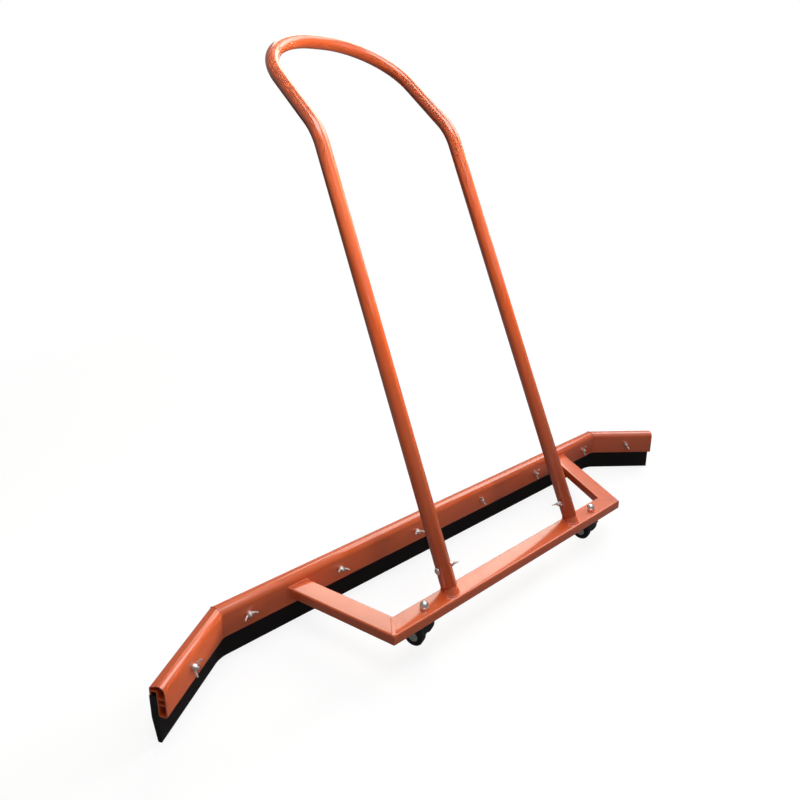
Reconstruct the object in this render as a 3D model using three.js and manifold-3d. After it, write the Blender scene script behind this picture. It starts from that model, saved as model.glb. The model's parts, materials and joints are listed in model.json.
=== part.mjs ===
// Tennis court squeegee: a rubber strip in a hollow rail with two wings bent forward, carried by
// a welded tube frame with two twin-wheel castors at the front and a bent tube handle.
// Millimetres, +X along the strip, +Y back towards the user, +Z up.
// The origin is the middle of the strip's lower edge, on the ground.

import * as THREE from 'three';
import * as BufferGeometryUtils from 'three/addons/utils/BufferGeometryUtils.js';
import Module from 'manifold-3d';

const wasm = await Module();
wasm.setup();

const degrees = Math.PI / 180;

// Clearances: between seated pieces, round a bolt in its hole, and round a turning shaft
const seatGap = 0.3;
const holeGap = 0.3;
const runGap = 0.05;
const cutOverrun = 6;

// Rail, a hollow profile whose cap overhangs the top of the rubber
const railMainHalf = 560;
const railWingLength = 170;
const railWingAngle = 36.3 * degrees;
const railHeight = 60;
const railDepth = 16;
const railWall = 2;
const railWebWall = 1.6;
const railFootRadius = 4;
const railCrownRadius = 13;
const railCapDepth = 28.5;
const railCapDrop = 3.5;
const railCapRadius = 5;
const railSoffitHeight = 47.5;
const railBoltHeight = 29;
const railChamberHeight = 9.6;

// Rubber strip behind the rail, its back bevelled to a thinner edge
const rubberShowing = 52.8;
const rubberHeight = 94.5;
const rubberThickness = 13.5;
const rubberEdgeThickness = 7;
const rubberBevelTop = 48;
const rubberBendTop = 4;
const rubberBendEdge = 45;

// Bolts through rail and rubber, nuts in front and washers behind
const bladeBoltInset = 50.75;
const bladeBoltsOnMain = 6;
const wingBoltPlace = 94.8;
const boltRadius = 3;
const boltHeadRadius = 7;
const boltHeadHeight = 4;
const boltTipOut = 3;
const boltChamfer = 0.8;
const washerRadius = 10;
const washerThickness = 1.6;

// Wing nut
const nutBaseRadius = 6;
const nutCollarRadius = 4.6;
const nutHeight = 8;
const nutFlange = 2;
const nutWingSpan = 28;
const nutWingRise = 15;
const nutWingThickness = 2.4;
const nutWingWidth = 8;

// Rectangular tube frame
const tubeWidth = 40.5;
const tubeHeight = 21;
const tubeWall = 2.5;
const tubeCorner = 3;
const frameTop = 94.1;
const frameReach = 223.9;
const armSpread = 83.8;
const armPastBolt = 120.95;

// Handle of round tube, pushed over two welded stubs
const legSpacing = 374;
const legLean = 26.7 * degrees;
const legFootBack = 4;
const legLength = 943;
const kneeRadius = 150;
const bowLean = 54.3 * degrees;
const bowStraight = 190;
const bowRadius = 173.3;
const gripRadius = 16;
const gripWall = 1.2;
const stubStep = 0.5;
const stubHeel = 1.2;
const stubFlare = 2.5;
const spigotLength = 62;
const spigotWall = 2;
const spigotChamfer = 1;
const handleBoltPlace = 34;

// Castors
const castorPlace = 256;
const castorTurnLeft = 22 * degrees;
const castorTurnRight = 12 * degrees;
const wheelRadius = 20;
const wheelWidth = 17.5;
const wheelSpacing = 36;
const wheelTrail = 10;
const wheelDrop = 26.5;
const wheelCrown = 2.5;
const wheelDish = 1.5;
const hubRadius = 5;
const hubCapRadius = 15;
const hubCapThickness = 1.8;
const axleRadius = 3;
const stemRadius = 5;
const stemCollarRadius = 9;
const stemCollarHeight = 2.5;
const stemReach = 27;
const stemChamfer = 0.8;
const sleeveFloor = 2.4;
const sleeveClearance = 1.4;
const bodyWebThickness = 13;
const bodyWebInset = 3;
const hoodClearance = 1.2;
const hoodWall = 1.8;
const hoodHalfAngle = 58 * degrees;
const hoodTilt = 14 * degrees;
const domeNutFlats = 17;
const domeNutHex = 6.5;
const domeNutRadius = 7.8;
const domeNutHeight = 13;
const domeNutRoof = 2.5;

// Facets
const sidesLarge = 20;
const sidesMedium = 16;
const sidesSmall = 12;
const sidesHex = 6;
const cornerSteps = 2;
const crownSteps = 5;
const stripBendSteps = 4;
const kneeSteps = 4;
const bowSteps = 10;
const hoodSteps = 8;
const tipSteps = 5;

// Finishes
const paint = { color: 0xe65a2e, roughness: 0.42, metalness: 0.1 };
const rubber = { color: 0x1a1718, roughness: 0.85, metalness: 0 };
const zinc = { color: 0xc9ccd0, roughness: 0.3, metalness: 1 };
const chrome = { color: 0xdfe2e6, roughness: 0.15, metalness: 1 };
const blackPlastic = { color: 0x161617, roughness: 0.55, metalness: 0 };
const greyPlastic = { color: 0x9b9ea2, roughness: 0.4, metalness: 0 };

// Sizes that follow from the ones above
const rubberFront = railDepth + seatGap;
const rubberBack = rubberFront + rubberThickness;
const bladeBoltPitch = 2 * (railMainHalf - bladeBoltInset) / (bladeBoltsOnMain - 1);
const bladeSeats = 4;
const bladeGrip = washerThickness + rubberThickness + railDepth + bladeSeats * seatGap;
const armBolt = ((bladeBoltsOnMain - 1) / 2 - 1) * bladeBoltPitch;
const barHalf = armBolt + armPastBolt - armSpread;
const armAngle = Math.atan2(armSpread, frameReach);
const seamPlace = (gripRadius * Math.sin(legLean) + seatGap + stubHeel) / Math.cos(legLean);
const spigotRadius = (gripRadius - gripWall) * Math.cos(Math.PI / sidesSmall) - seatGap;

const squeegee = new THREE.Group();
const machine = new THREE.Group();
machine.position.y = -(rubberFront + rubberEdgeThickness / 2);
squeegee.add(machine);

// Adds one named piece to a group.
function addPiece(parent, name, geometry, finish) {
  const mesh = new THREE.Mesh(geometry, new THREE.MeshStandardMaterial(finish));
  mesh.name = name;
  parent.add(mesh);
  return mesh;
}

// Adds a group placed inside another.
function addGroup(parent, x, y, z) {
  const group = new THREE.Group();
  group.position.set(x, y, z);
  parent.add(group);
  return group;
}

// A closed geometry as a solid that can be joined and cut.
function toSolid(geometry) {
  const bare = geometry.clone();
  bare.deleteAttribute('normal');
  bare.deleteAttribute('uv');
  const merged = BufferGeometryUtils.mergeVertices(bare);
  return new wasm.Manifold(new wasm.Mesh({
    numProp: 3,
    vertProperties: new Float32Array(merged.attributes.position.array),
    triVerts: new Uint32Array(merged.index.array),
  }));
}

// A solid as a geometry again.
function toGeometry(solid) {
  const mesh = solid.getMesh();
  const geometry = new THREE.BufferGeometry();
  geometry.setAttribute('position', new THREE.BufferAttribute(mesh.vertProperties, 3));
  geometry.setIndex(new THREE.BufferAttribute(mesh.triVerts, 1));
  geometry.computeVertexNormals();
  return geometry;
}

// A base geometry with others cut out of it.
function cut(base, ...tools) {
  return toGeometry(tools.reduce((solid, tool) => solid.subtract(toSolid(tool)), toSolid(base)));
}

// Several geometries as one.
function join(base, ...others) {
  return toGeometry(others.reduce((solid, other) => solid.add(toSolid(other)), toSolid(base)));
}

// The radius of a bore whose flats just clear a turning shaft.
function runningBore(shaftRadius, sides) {
  return (shaftRadius + runGap) / Math.cos(Math.PI / sides);
}

// A rod along +Z between two heights.
function rod(radius, low, high, sides) {
  const geometry = new THREE.CylinderGeometry(radius, radius, high - low, sides);
  geometry.rotateX(Math.PI / 2);
  geometry.translate(0, 0, (low + high) / 2);
  return geometry;
}

// A turned shape round +Z from [radius, height] points, up its outer side.
function turned(points, sides) {
  const geometry = new THREE.LatheGeometry(points.map(([r, z]) => new THREE.Vector2(r, z)), sides);
  geometry.rotateX(Math.PI / 2);
  return geometry;
}

// An arc of [x, y] points from one angle to another.
function arcPoints(cx, cy, radius, from, to, steps) {
  const points = [];
  for (let i = 0; i <= steps; i += 1) {
    const angle = from + (to - from) * i / steps;
    points.push([cx + radius * Math.cos(angle), cy + radius * Math.sin(angle)]);
  }
  return points;
}

// A shape from [x, y] points, with any holes.
function outline(points, ...holes) {
  const toVectors = (list) => list.map(([x, y]) => new THREE.Vector2(x, y));
  const edge = toVectors(points);
  if (THREE.ShapeUtils.isClockWise(edge)) {
    edge.reverse();
  }
  const shape = new THREE.Shape(edge);
  shape.holes = holes.map((hole) => new THREE.Path(toVectors(hole)));
  return shape;
}

// A bar of one section along X, each end cut on a slant. The section's x runs along Y and its
// y along Z. An end stands at its place, and leans along X by its lean for each unit of Y.
function slantedBar(section, start, end) {
  const geometry = new THREE.ExtrudeGeometry(section, { depth: 1, bevelEnabled: false });
  const position = geometry.attributes.position;
  for (let i = 0; i < position.count; i += 1) {
    const across = position.getX(i);
    const { place, lean } = position.getZ(i) > 0 ? end : start;
    position.setXYZ(i, place + lean * across, across, position.getY(i));
  }
  geometry.computeVertexNormals();
  return geometry;
}

// A closed skin over rings of points, each one counter-clockwise as seen from the next.
function skin(rings) {
  const count = rings[0].length;
  const end = (rings.length - 1) * count;
  const faces = [];
  for (let here = 0; here < end; here += count) {
    const next = here + count;
    for (let i = 0; i < count; i += 1) {
      const j = (i + 1) % count;
      faces.push(here + i, here + j, next + j, here + i, next + j, next + i);
    }
  }
  for (let i = 1; i < count - 1; i += 1) {
    faces.push(0, i + 1, i);
    faces.push(end, end + i, end + i + 1);
  }
  const geometry = new THREE.BufferGeometry();
  geometry.setAttribute('position', new THREE.Float32BufferAttribute(rings.flat(2), 3));
  geometry.setIndex(faces);
  geometry.computeVertexNormals();
  return geometry;
}

// Rail profile: front and inner wall, a rounded crown, a cap with a lip, and three chambers
function railSection() {
  const back = railDepth;
  const crown = railHeight - railCrownRadius;
  const capTop = railHeight - railCapDrop;
  const capX = railCapDepth - railCapRadius;
  const lipBottom = rubberHeight + seatGap - rubberShowing;
  const outer = [
    ...arcPoints(railFootRadius, railFootRadius, railFootRadius, -Math.PI / 2, -Math.PI,
      cornerSteps),
    ...arcPoints(railCrownRadius, crown, railCrownRadius, Math.PI, Math.PI / 2, crownSteps),
    ...arcPoints(capX, capTop - railCapRadius, railCapRadius, Math.PI / 2, 0, cornerSteps),
    [railCapDepth, lipBottom],
    [railCapDepth - railWall, lipBottom],
    [railCapDepth - railWall, railSoffitHeight],
    [back, railSoffitHeight],
    ...arcPoints(back - railFootRadius, railFootRadius, railFootRadius, 0, -Math.PI / 2,
      cornerSteps),
  ];
  const front = railWall;
  const inner = back - railWall;
  const boltRoof = railBoltHeight + railChamberHeight / 2;
  const boltFloor = railBoltHeight - railChamberHeight / 2;
  const topChamber = [
    [front, boltRoof + railWebWall],
    ...arcPoints(railCrownRadius, crown, railCrownRadius - railWall, Math.PI, Math.PI / 2,
      cornerSteps),
    ...arcPoints(capX, capTop - railCapRadius, railCapRadius - railWall, Math.PI / 2, 0,
      cornerSteps),
    [railCapDepth - railWall, railSoffitHeight + railWall],
    [inner, railSoffitHeight + railWall],
    [inner, boltRoof + railWebWall],
  ];
  const boltChamber = [
    [front, boltFloor],
    [front, boltRoof],
    [inner, boltRoof],
    [inner, boltFloor],
  ];
  const lowChamber = [
    [front, railFootRadius],
    [front, boltFloor - railWebWall],
    [inner, boltFloor - railWebWall],
    [inner, railFootRadius],
    [back - railFootRadius, railWall],
    [railFootRadius, railWall],
  ];
  return outline(outer, topChamber, boltChamber, lowChamber);
}

// A drill along Y through rail and rubber.
function bladeDrill(x, z) {
  const drill = rod(boltRadius + holeGap, -cutOverrun, rubberBack + cutOverrun, sidesSmall);
  drill.rotateX(-Math.PI / 2);
  return drill.translate(x, 0, z);
}

// One length of rail between two slanted ends, drilled for its bolts
function railPiece(start, end, boltPlaces) {
  const bar = slantedBar(railSection(), start, end);
  const piece = cut(bar, ...boltPlaces.map((x) => bladeDrill(x, railBoltHeight)));
  return piece.translate(0, 0, rubberShowing);
}

// The three lengths of rail, mitred at the kinks
const kinkLean = Math.tan(railWingAngle / 2);
const mitreGap = seatGap / 2;
const mainBolts = Array.from({ length: bladeBoltsOnMain }, (_, i) => (
  (i - (bladeBoltsOnMain - 1) / 2) * bladeBoltPitch));
const leftWing = addGroup(machine, -railMainHalf, 0, 0);
leftWing.rotation.z = railWingAngle;
const rightWing = addGroup(machine, railMainHalf, 0, 0);
rightWing.rotation.z = -railWingAngle;
addPiece(machine, 'rail_main', railPiece(
  { place: mitreGap - railMainHalf, lean: -kinkLean },
  { place: railMainHalf - mitreGap, lean: kinkLean },
  mainBolts,
), paint);
addPiece(leftWing, 'rail_wing_left', railPiece(
  { place: -railWingLength, lean: 0 },
  { place: -mitreGap, lean: kinkLean },
  [-wingBoltPlace],
), paint);
addPiece(rightWing, 'rail_wing_right', railPiece(
  { place: mitreGap, lean: -kinkLean },
  { place: railWingLength, lean: 0 },
  [wingBoltPlace],
), paint);

// One long edge of the strip at a depth behind the rail's face and a height, from the left end
// round both bends to the right end
function stripLine(depth, height, bendRadius) {
  const bendX = railMainHalf + (depth - bendRadius) * kinkLean;
  const right = arcPoints(bendX, depth - bendRadius, bendRadius,
    Math.PI / 2, Math.PI / 2 - railWingAngle, stripBendSteps);
  right.push([
    railMainHalf + railWingLength * Math.cos(railWingAngle) + depth * Math.sin(railWingAngle),
    depth * Math.cos(railWingAngle) - railWingLength * Math.sin(railWingAngle),
  ]);
  const line = right.map(([x, y]) => [x, y, height]);
  return [...line.map(([x, y, z]) => [-x, y, z]).reverse(), ...line];
}

// Rubber strip, tightly bent behind the rail and gently at its free edge
function rubberStrip() {
  const edgeBack = rubberFront + rubberEdgeThickness;
  const lines = [
    stripLine(rubberFront, rubberHeight, rubberBendTop),
    stripLine(rubberFront, rubberBevelTop, rubberBendTop),
    stripLine(rubberFront, 0, rubberBendEdge),
    stripLine(edgeBack, 0, rubberBendEdge + rubberEdgeThickness),
    stripLine(rubberBack, rubberBevelTop, rubberBendTop + rubberThickness),
    stripLine(rubberBack, rubberHeight, rubberBendTop + rubberThickness),
  ];
  return skin(lines[0].map((_, station) => lines.map((line) => line[station])));
}

// One of the strip's drills, set in a wing's frame
function stripDrill(wing, x) {
  wing.updateMatrix();
  return bladeDrill(x, rubberShowing + railBoltHeight).applyMatrix4(wing.matrix);
}
addPiece(machine, 'rubber_strip', cut(
  rubberStrip(),
  ...mainBolts.map((x) => bladeDrill(x, rubberShowing + railBoltHeight)),
  stripDrill(leftWing, -wingBoltPlace),
  stripDrill(rightWing, wingBoltPlace),
), rubber);

// Round-headed bolt along +Z, the underside of its head at zero
function boltGeometry(grip) {
  const tip = grip + nutHeight + boltTipOut;
  const headShares = [[0.45, 1], [0.8, 0.75], [1, 0.25], [1, 0]];
  const head = headShares.map(([radiusShare, heightShare]) => (
    [boltHeadRadius * radiusShare, -boltHeadHeight * heightShare]));
  return turned([
    [0, -boltHeadHeight],
    ...head,
    [boltRadius, 0],
    [boltRadius, tip - boltChamfer],
    [boltRadius - boltChamfer, tip],
    [0, tip],
  ], sidesSmall);
}

// Wing nut on its seat at zero, its two wings along X and rising along +Z
function wingNutGeometry() {
  const hub = turned([
    [0, 0],
    [nutBaseRadius, 0],
    [nutBaseRadius, nutFlange],
    [nutCollarRadius, nutHeight],
    [0, nutHeight],
  ], sidesSmall);
  const tipRadius = nutWingWidth / 2;
  const tipX = nutWingSpan / 2 - tipRadius;
  const wing = outline([
    [0, nutFlange],
    [nutBaseRadius, nutFlange],
    ...arcPoints(tipX, nutWingRise - tipRadius, tipRadius, -Math.PI / 4, Math.PI, tipSteps),
    [nutCollarRadius, nutHeight - nutFlange],
    [0, nutHeight - nutFlange],
  ]);
  const wings = [0, Math.PI].map((turn) => {
    const plate = new THREE.ExtrudeGeometry(wing, {
      depth: nutWingThickness, bevelEnabled: false,
    });
    plate.translate(0, 0, -nutWingThickness / 2);
    plate.rotateX(Math.PI / 2);
    return plate.rotateZ(turn);
  });
  const bore = rod(runningBore(boltRadius, sidesSmall), -cutOverrun, nutHeight + cutOverrun,
    sidesSmall);
  return cut(join(hub, ...wings), bore);
}

// A bolt and its wing nut in a group whose +Z runs from head to tip
function addFastener(stack, prefix, suffix, grip, nutTurn) {
  addPiece(stack, `${prefix}_bolt_${suffix}`, boltGeometry(grip), zinc);
  const nut = addPiece(stack, `${prefix}_wing_nut_${suffix}`, wingNutGeometry(), zinc);
  nut.position.z = grip;
  nut.rotation.z = nutTurn;
}

// One of the blade's bolts, with its washer on the rubber and its nut on the rail's face
function addBladeFastener(wing, number, x, nutTurn) {
  const stack = addGroup(wing, x, bladeGrip - seatGap, rubberShowing + railBoltHeight);
  stack.rotation.x = Math.PI / 2;
  addFastener(stack, 'blade', number, bladeGrip, nutTurn);
  const bore = boltRadius + holeGap;
  const washer = addPiece(stack, `blade_washer_${number}`, turned([
    [bore, 0],
    [washerRadius, 0],
    [washerRadius, washerThickness],
    [bore, washerThickness],
    [bore, 0],
  ], sidesSmall), zinc);
  washer.position.z = seatGap;
}

// Hand-tightened nuts come to rest at odd angles
const nutTurns = [-28, 12, -14, 24, -8, 30, -20, 10].map((turn) => turn * degrees);
addBladeFastener(leftWing, 1, -wingBoltPlace, nutTurns[0]);
mainBolts.forEach((x, i) => addBladeFastener(machine, i + 2, x, nutTurns[i + 1]));
addBladeFastener(rightWing, bladeBoltsOnMain + 2, wingBoltPlace, nutTurns[bladeBoltsOnMain + 1]);

// Rectangular tube section, one edge on zero and its top at zero, to one side or the other
function tubeSection(side) {
  const ring = (inset, radius) => {
    const low = inset + radius;
    const wide = tubeWidth - low;
    const deep = tubeHeight - low;
    return [
      ...arcPoints(wide, -low, radius, Math.PI / 2, 0, cornerSteps),
      ...arcPoints(wide, -deep, radius, 0, -Math.PI / 2, cornerSteps),
      ...arcPoints(low, -deep, radius, -Math.PI / 2, -Math.PI, cornerSteps),
      ...arcPoints(low, -low, radius, Math.PI, Math.PI / 2, cornerSteps),
    ].map(([x, y]) => [side * x, y]);
  };
  return outline(ring(0, tubeCorner), ring(tubeWall, tubeCorner - tubeWall));
}

// Front bar, mitred to the arms and drilled for the castor stems
const frame = addGroup(machine, 0, -frameReach, frameTop);
const cornerLean = Math.tan(Math.PI / 4 - armAngle / 2);
const stemDrills = [-castorPlace, castorPlace].map((x) => (
  rod(stemRadius + holeGap, -tubeHeight - cutOverrun, cutOverrun, sidesMedium)
    .translate(x, tubeWidth / 2, 0)));
addPiece(frame, 'wheel_bar', cut(slantedBar(
  tubeSection(1),
  { place: mitreGap - barHalf, lean: cornerLean },
  { place: barHalf - mitreGap, lean: -cornerLean },
), ...stemDrills), paint);

// Side arms, from the bar's mitred ends out to the rail's front face
for (const [name, side] of [['left', -1], ['right', 1]]) {
  const arm = addGroup(frame, side * barHalf, 0, 0);
  arm.rotation.z = Math.PI / 2 - side * armAngle;
  addPiece(arm, `side_arm_${name}`, slantedBar(
    tubeSection(side),
    { place: mitreGap, lean: side * cornerLean },
    { place: (frameReach - seatGap) / Math.cos(armAngle), lean: -side * Math.tan(armAngle) },
  ), paint);
}

// The handle's frame: its legs stand either side, leaning back from the bar's top
const handle = addGroup(frame, 0, tubeWidth / 2 + legFootBack, 0);
const legAxis = new THREE.Vector3(0, Math.sin(legLean), Math.cos(legLean));
const bowAxis = new THREE.Vector3(0, Math.sin(bowLean), Math.cos(bowLean));

// A ring round a leg's axis, square to it at a place along it.
function legRing(radius, place) {
  return arcPoints(0, 0, radius, 0, 2 * Math.PI, sidesLarge).slice(1).map(([x, across]) => [
    x,
    across * Math.cos(legLean) + place * Math.sin(legLean),
    place * Math.cos(legLean) - across * Math.sin(legLean),
  ]);
}

// The same ring slid along the leg until it lies on the bar's top.
function footRing(radius) {
  return legRing(radius, 0).map(([x, y, z]) => (
    [x, y + (seatGap - z) * Math.tan(legLean), seatGap]));
}

// A drill along X through a leg at its bolt.
function legDrill() {
  const reach = gripRadius + cutOverrun;
  const drill = rod(boltRadius + holeGap, -reach, reach, sidesSmall);
  drill.rotateY(Math.PI / 2);
  const place = legAxis.clone().multiplyScalar(seamPlace + handleBoltPlace);
  return drill.translate(place.x, place.y, place.z);
}

// Stub: a weld-flared foot up to the seam, then a spigot inside the handle
function stubGeometry() {
  const shoulder = gripRadius - stubStep;
  const seam = legRing(shoulder, seamPlace);
  const flareShare = 0.3;
  const riseShare = 0.35;
  const throat = footRing(shoulder + stubFlare * flareShare).map((point, i) => (
    point.map((value, axis) => value + (seam[i][axis] - value) * riseShare)));
  const top = seamPlace + spigotLength;
  const stub = skin([
    footRing(shoulder + stubFlare),
    throat,
    seam,
    legRing(spigotRadius, seamPlace),
    legRing(spigotRadius, top - spigotChamfer),
    legRing(spigotRadius - spigotChamfer, top),
  ]);
  const bore = rod(spigotRadius - spigotWall, -seamPlace - cutOverrun, top + cutOverrun,
    sidesMedium);
  bore.rotateX(-legLean);
  return cut(stub, bore, legDrill());
}

// A path of straights joined by arcs, met only at its stations: its two ends, the ends of each
// arc and the steps along it
class StationPath extends THREE.Curve {
  constructor(corners, radii, steps) {
    super();
    const heading = (i) => corners[i + 1].clone().sub(corners[i]).normalize();
    const last = corners.length - 1;
    this.stations = [{ point: corners[0], tangent: heading(0) }];
    for (let i = 1; i < last; i += 1) {
      this.addArc(corners[i], heading(i - 1), heading(i), radii[i - 1], steps[i - 1]);
    }
    this.stations.push({ point: corners[last], tangent: heading(last - 1) });
  }

  addArc(corner, inward, outward, radius, steps) {
    const turn = inward.angleTo(outward);
    const start = corner.clone().addScaledVector(inward, -radius * Math.tan(turn / 2));
    const side = outward.clone().addScaledVector(inward, -Math.cos(turn)).normalize();
    for (let k = 0; k <= steps; k += 1) {
      const angle = turn * k / steps;
      this.stations.push({
        point: start.clone().addScaledVector(inward, radius * Math.sin(angle))
          .addScaledVector(side, radius * (1 - Math.cos(angle))),
        tangent: inward.clone().multiplyScalar(Math.cos(angle))
          .addScaledVector(side, Math.sin(angle)),
      });
    }
  }

  stationAt(share) {
    return this.stations[Math.round(share * (this.stations.length - 1))];
  }

  getPointAt(share, target = new THREE.Vector3()) {
    return target.copy(this.stationAt(share).point);
  }

  getTangentAt(share, target = new THREE.Vector3()) {
    return target.copy(this.stationAt(share).tangent);
  }
}

// Handle: up one leg, over its knee, round the bow and down the other leg
function handleGeometry() {
  const half = legSpacing / 2;
  const foot = legAxis.clone().multiplyScalar(seamPlace + seatGap);
  const knee = legAxis.clone().multiplyScalar(seamPlace + legLength);
  const apex = knee.clone().addScaledVector(bowAxis, bowStraight + bowRadius);
  const left = [foot, knee, apex].map((point) => point.clone().setX(-half));
  const right = [apex, knee, foot].map((point) => point.clone().setX(half));
  const path = new StationPath(
    [...left, ...right],
    [kneeRadius, bowRadius, bowRadius, kneeRadius],
    [kneeSteps, bowSteps, bowSteps, kneeSteps],
  );
  const circle = (radius, sides) => arcPoints(0, 0, radius, 0, 2 * Math.PI, sides).slice(1);
  const ring = outline(circle(gripRadius, sidesLarge), circle(gripRadius - gripWall, sidesSmall));
  return new THREE.ExtrudeGeometry(ring, {
    steps: path.stations.length - 1, extrudePath: path, bevelEnabled: false,
  });
}
addPiece(handle, 'handle_tube', cut(
  handleGeometry(),
  legDrill().translate(-legSpacing / 2, 0, 0),
  legDrill().translate(legSpacing / 2, 0, 0),
), paint);

// Stubs, and the bolts that hold the handle on them, heads outside and nuts inside
const handleNutTurns = { left: -35 * degrees, right: 25 * degrees };
for (const [name, side] of [['left', -1], ['right', 1]]) {
  const leg = addGroup(handle, side * legSpacing / 2, 0, 0);
  addPiece(leg, `handle_stub_${name}`, stubGeometry(), paint);
  const place = legAxis.clone().multiplyScalar(seamPlace + handleBoltPlace);
  const stack = addGroup(leg, side * (gripRadius + seatGap), place.y, place.z);
  stack.rotation.y = -side * Math.PI / 2;
  addFastener(stack, 'handle', name, 2 * (gripRadius + seatGap), handleNutTurns[name]);
}

// Castor stem: a collared pin from inside the castor's sleeve up into the dome nut
function stemGeometry() {
  const top = tubeHeight + domeNutHeight - domeNutRoof;
  const collar = -seatGap - stemCollarHeight;
  return turned([
    [0, -stemReach],
    [stemRadius - stemChamfer, -stemReach],
    [stemRadius, stemChamfer - stemReach],
    [stemRadius, collar],
    [stemCollarRadius, collar],
    [stemCollarRadius, -seatGap],
    [stemRadius, -seatGap],
    [stemRadius, top - stemChamfer],
    [stemRadius - stemChamfer, top],
    [0, top],
  ], sidesMedium);
}

// Dome nut: a hexagon with a domed end over a blind hole
function domeNutGeometry() {
  const hex = rod(domeNutFlats / 2 / Math.cos(Math.PI / sidesHex), 0, domeNutHex, sidesHex);
  const dome = turned([
    [0, 0],
    ...arcPoints(0, domeNutHeight - domeNutRadius, domeNutRadius, 0, Math.PI / 2, crownSteps)
      .slice(0, -1),
    [0, domeNutHeight],
  ], sidesMedium);
  const bore = rod(stemRadius + holeGap, -cutOverrun, domeNutHeight - domeNutRoof, sidesMedium);
  return cut(join(hex, dome), bore);
}

// Castor body: a web between the wheels under a hood, with a sleeve for the stem
function castorBodyGeometry() {
  const hoodInner = wheelRadius + hoodClearance;
  const hoodOuter = hoodInner + hoodWall;
  const from = Math.PI / 2 - hoodHalfAngle - hoodTilt;
  const to = Math.PI / 2 + hoodHalfAngle - hoodTilt;
  const web = outline([
    ...arcPoints(0, 0, hoodInner + hoodWall / 2, from, to, hoodSteps),
    ...arcPoints(0, 0, wheelRadius - bodyWebInset, to, from + 2 * Math.PI, hoodSteps),
  ]);
  const hood = outline([
    ...arcPoints(0, 0, hoodOuter, from, to, hoodSteps),
    ...arcPoints(0, 0, hoodInner, to, from, hoodSteps),
  ]);
  const slab = (shape, width) => {
    const geometry = new THREE.ExtrudeGeometry(shape, { depth: width, bevelEnabled: false });
    geometry.translate(0, 0, -width / 2);
    geometry.rotateX(Math.PI / 2);
    geometry.rotateZ(-Math.PI / 2);
    return geometry.translate(0, wheelTrail, -wheelDrop);
  };
  const sleeveRadius = (wheelSpacing - wheelWidth) / 2 - sleeveClearance;
  const sleeveTop = -2 * seatGap - stemCollarHeight;
  const boreFloor = -stemReach - seatGap;
  const sleeve = rod(sleeveRadius, boreFloor - sleeveFloor, sleeveTop, sidesMedium);
  const stemBore = rod(runningBore(stemRadius, sidesMedium), boreFloor, cutOverrun, sidesMedium);
  const axleBore = rod(runningBore(axleRadius, sidesSmall), -wheelSpacing, wheelSpacing,
    sidesSmall);
  axleBore.rotateY(Math.PI / 2);
  axleBore.translate(0, wheelTrail, -wheelDrop);
  const body = join(
    slab(web, bodyWebThickness), slab(hood, wheelSpacing + wheelWidth), sleeve);
  return cut(body, stemBore, axleBore);
}

// Wheel: a rounded tread with a boss towards the body and a recess for its hub cap outside
function wheelGeometry() {
  const half = wheelWidth / 2;
  const bore = runningBore(axleRadius, sidesSmall);
  const boss = (wheelSpacing - bodyWebThickness) / 2 - seatGap;
  const recess = hubCapRadius + seatGap;
  const shoulder = half - wheelCrown;
  const rim = wheelRadius - wheelCrown;
  return turned([
    [bore, -boss],
    [hubRadius, -boss],
    [hubRadius, wheelDish - half],
    [recess, wheelDish - half],
    [recess, -half],
    ...arcPoints(rim, -shoulder, wheelCrown, -Math.PI / 2, 0, cornerSteps),
    ...arcPoints(rim, shoulder, wheelCrown, 0, Math.PI / 2, cornerSteps),
    [recess, half],
    [recess, half - wheelDish],
    [bore, half - wheelDish],
    [bore, -boss],
  ], sidesLarge);
}

// Hub cap: a shallow dome that closes the wheel's outer face
function hubCapGeometry() {
  const capShares = [[1, 0.45], [0.92, 0.75], [0.6, 0.93]];
  const rise = capShares.map(([radiusShare, heightShare]) => (
    [hubCapRadius * radiusShare, hubCapThickness * heightShare]));
  return turned([[0, 0], [hubCapRadius, 0], ...rise, [0, hubCapThickness]], sidesLarge);
}

// Castors under the bar, each trailing as it was left
for (const [name, side, turn] of [['left', -1, castorTurnLeft], ['right', 1, castorTurnRight]]) {
  const castor = addGroup(frame, side * castorPlace, tubeWidth / 2, -tubeHeight);
  addPiece(castor, `castor_stem_${name}`, stemGeometry(), zinc);
  const nut = addPiece(castor, `castor_dome_nut_${name}`, domeNutGeometry(), chrome);
  nut.position.z = tubeHeight + seatGap;
  const swivel = addGroup(castor, 0, 0, 0);
  swivel.rotation.z = turn;
  addPiece(swivel, `castor_body_${name}`, castorBodyGeometry(), blackPlastic);
  const axleHalf = (wheelSpacing + wheelWidth) / 2 - wheelDish - seatGap;
  const axle = addPiece(swivel, `castor_axle_${name}`,
    rod(axleRadius, -axleHalf, axleHalf, sidesSmall), zinc);
  axle.position.set(0, wheelTrail, -wheelDrop);
  axle.rotation.y = Math.PI / 2;
  for (const [face, out] of [['a', -1], ['b', 1]]) {
    const hub = addGroup(swivel, out * wheelSpacing / 2, wheelTrail, -wheelDrop);
    hub.rotation.y = out * Math.PI / 2;
    addPiece(hub, `castor_wheel_${name}_${face}`, wheelGeometry(), blackPlastic);
    const cap = addPiece(hub, `wheel_hub_cap_${name}_${face}`, hubCapGeometry(), greyPlastic);
    cap.position.z = wheelWidth / 2 - wheelDish + seatGap;
  }
}

export default squeegee;
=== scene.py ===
"""Tennis court squeegee: the looks around its fixed CAD frame.

Sizes are millimetres in the part's own frame, with +X along the strip, +Y back towards the user
and +Z up, and become metres when a mesh is made.
"""

from __future__ import annotations

import json
import logging
import math
from dataclasses import dataclass, field
from enum import Enum
from typing import Any, Callable, Sequence

import bmesh
import bpy
from mathutils import Matrix, Vector
from mathutils.geometry import tessellate_polygon

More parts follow.
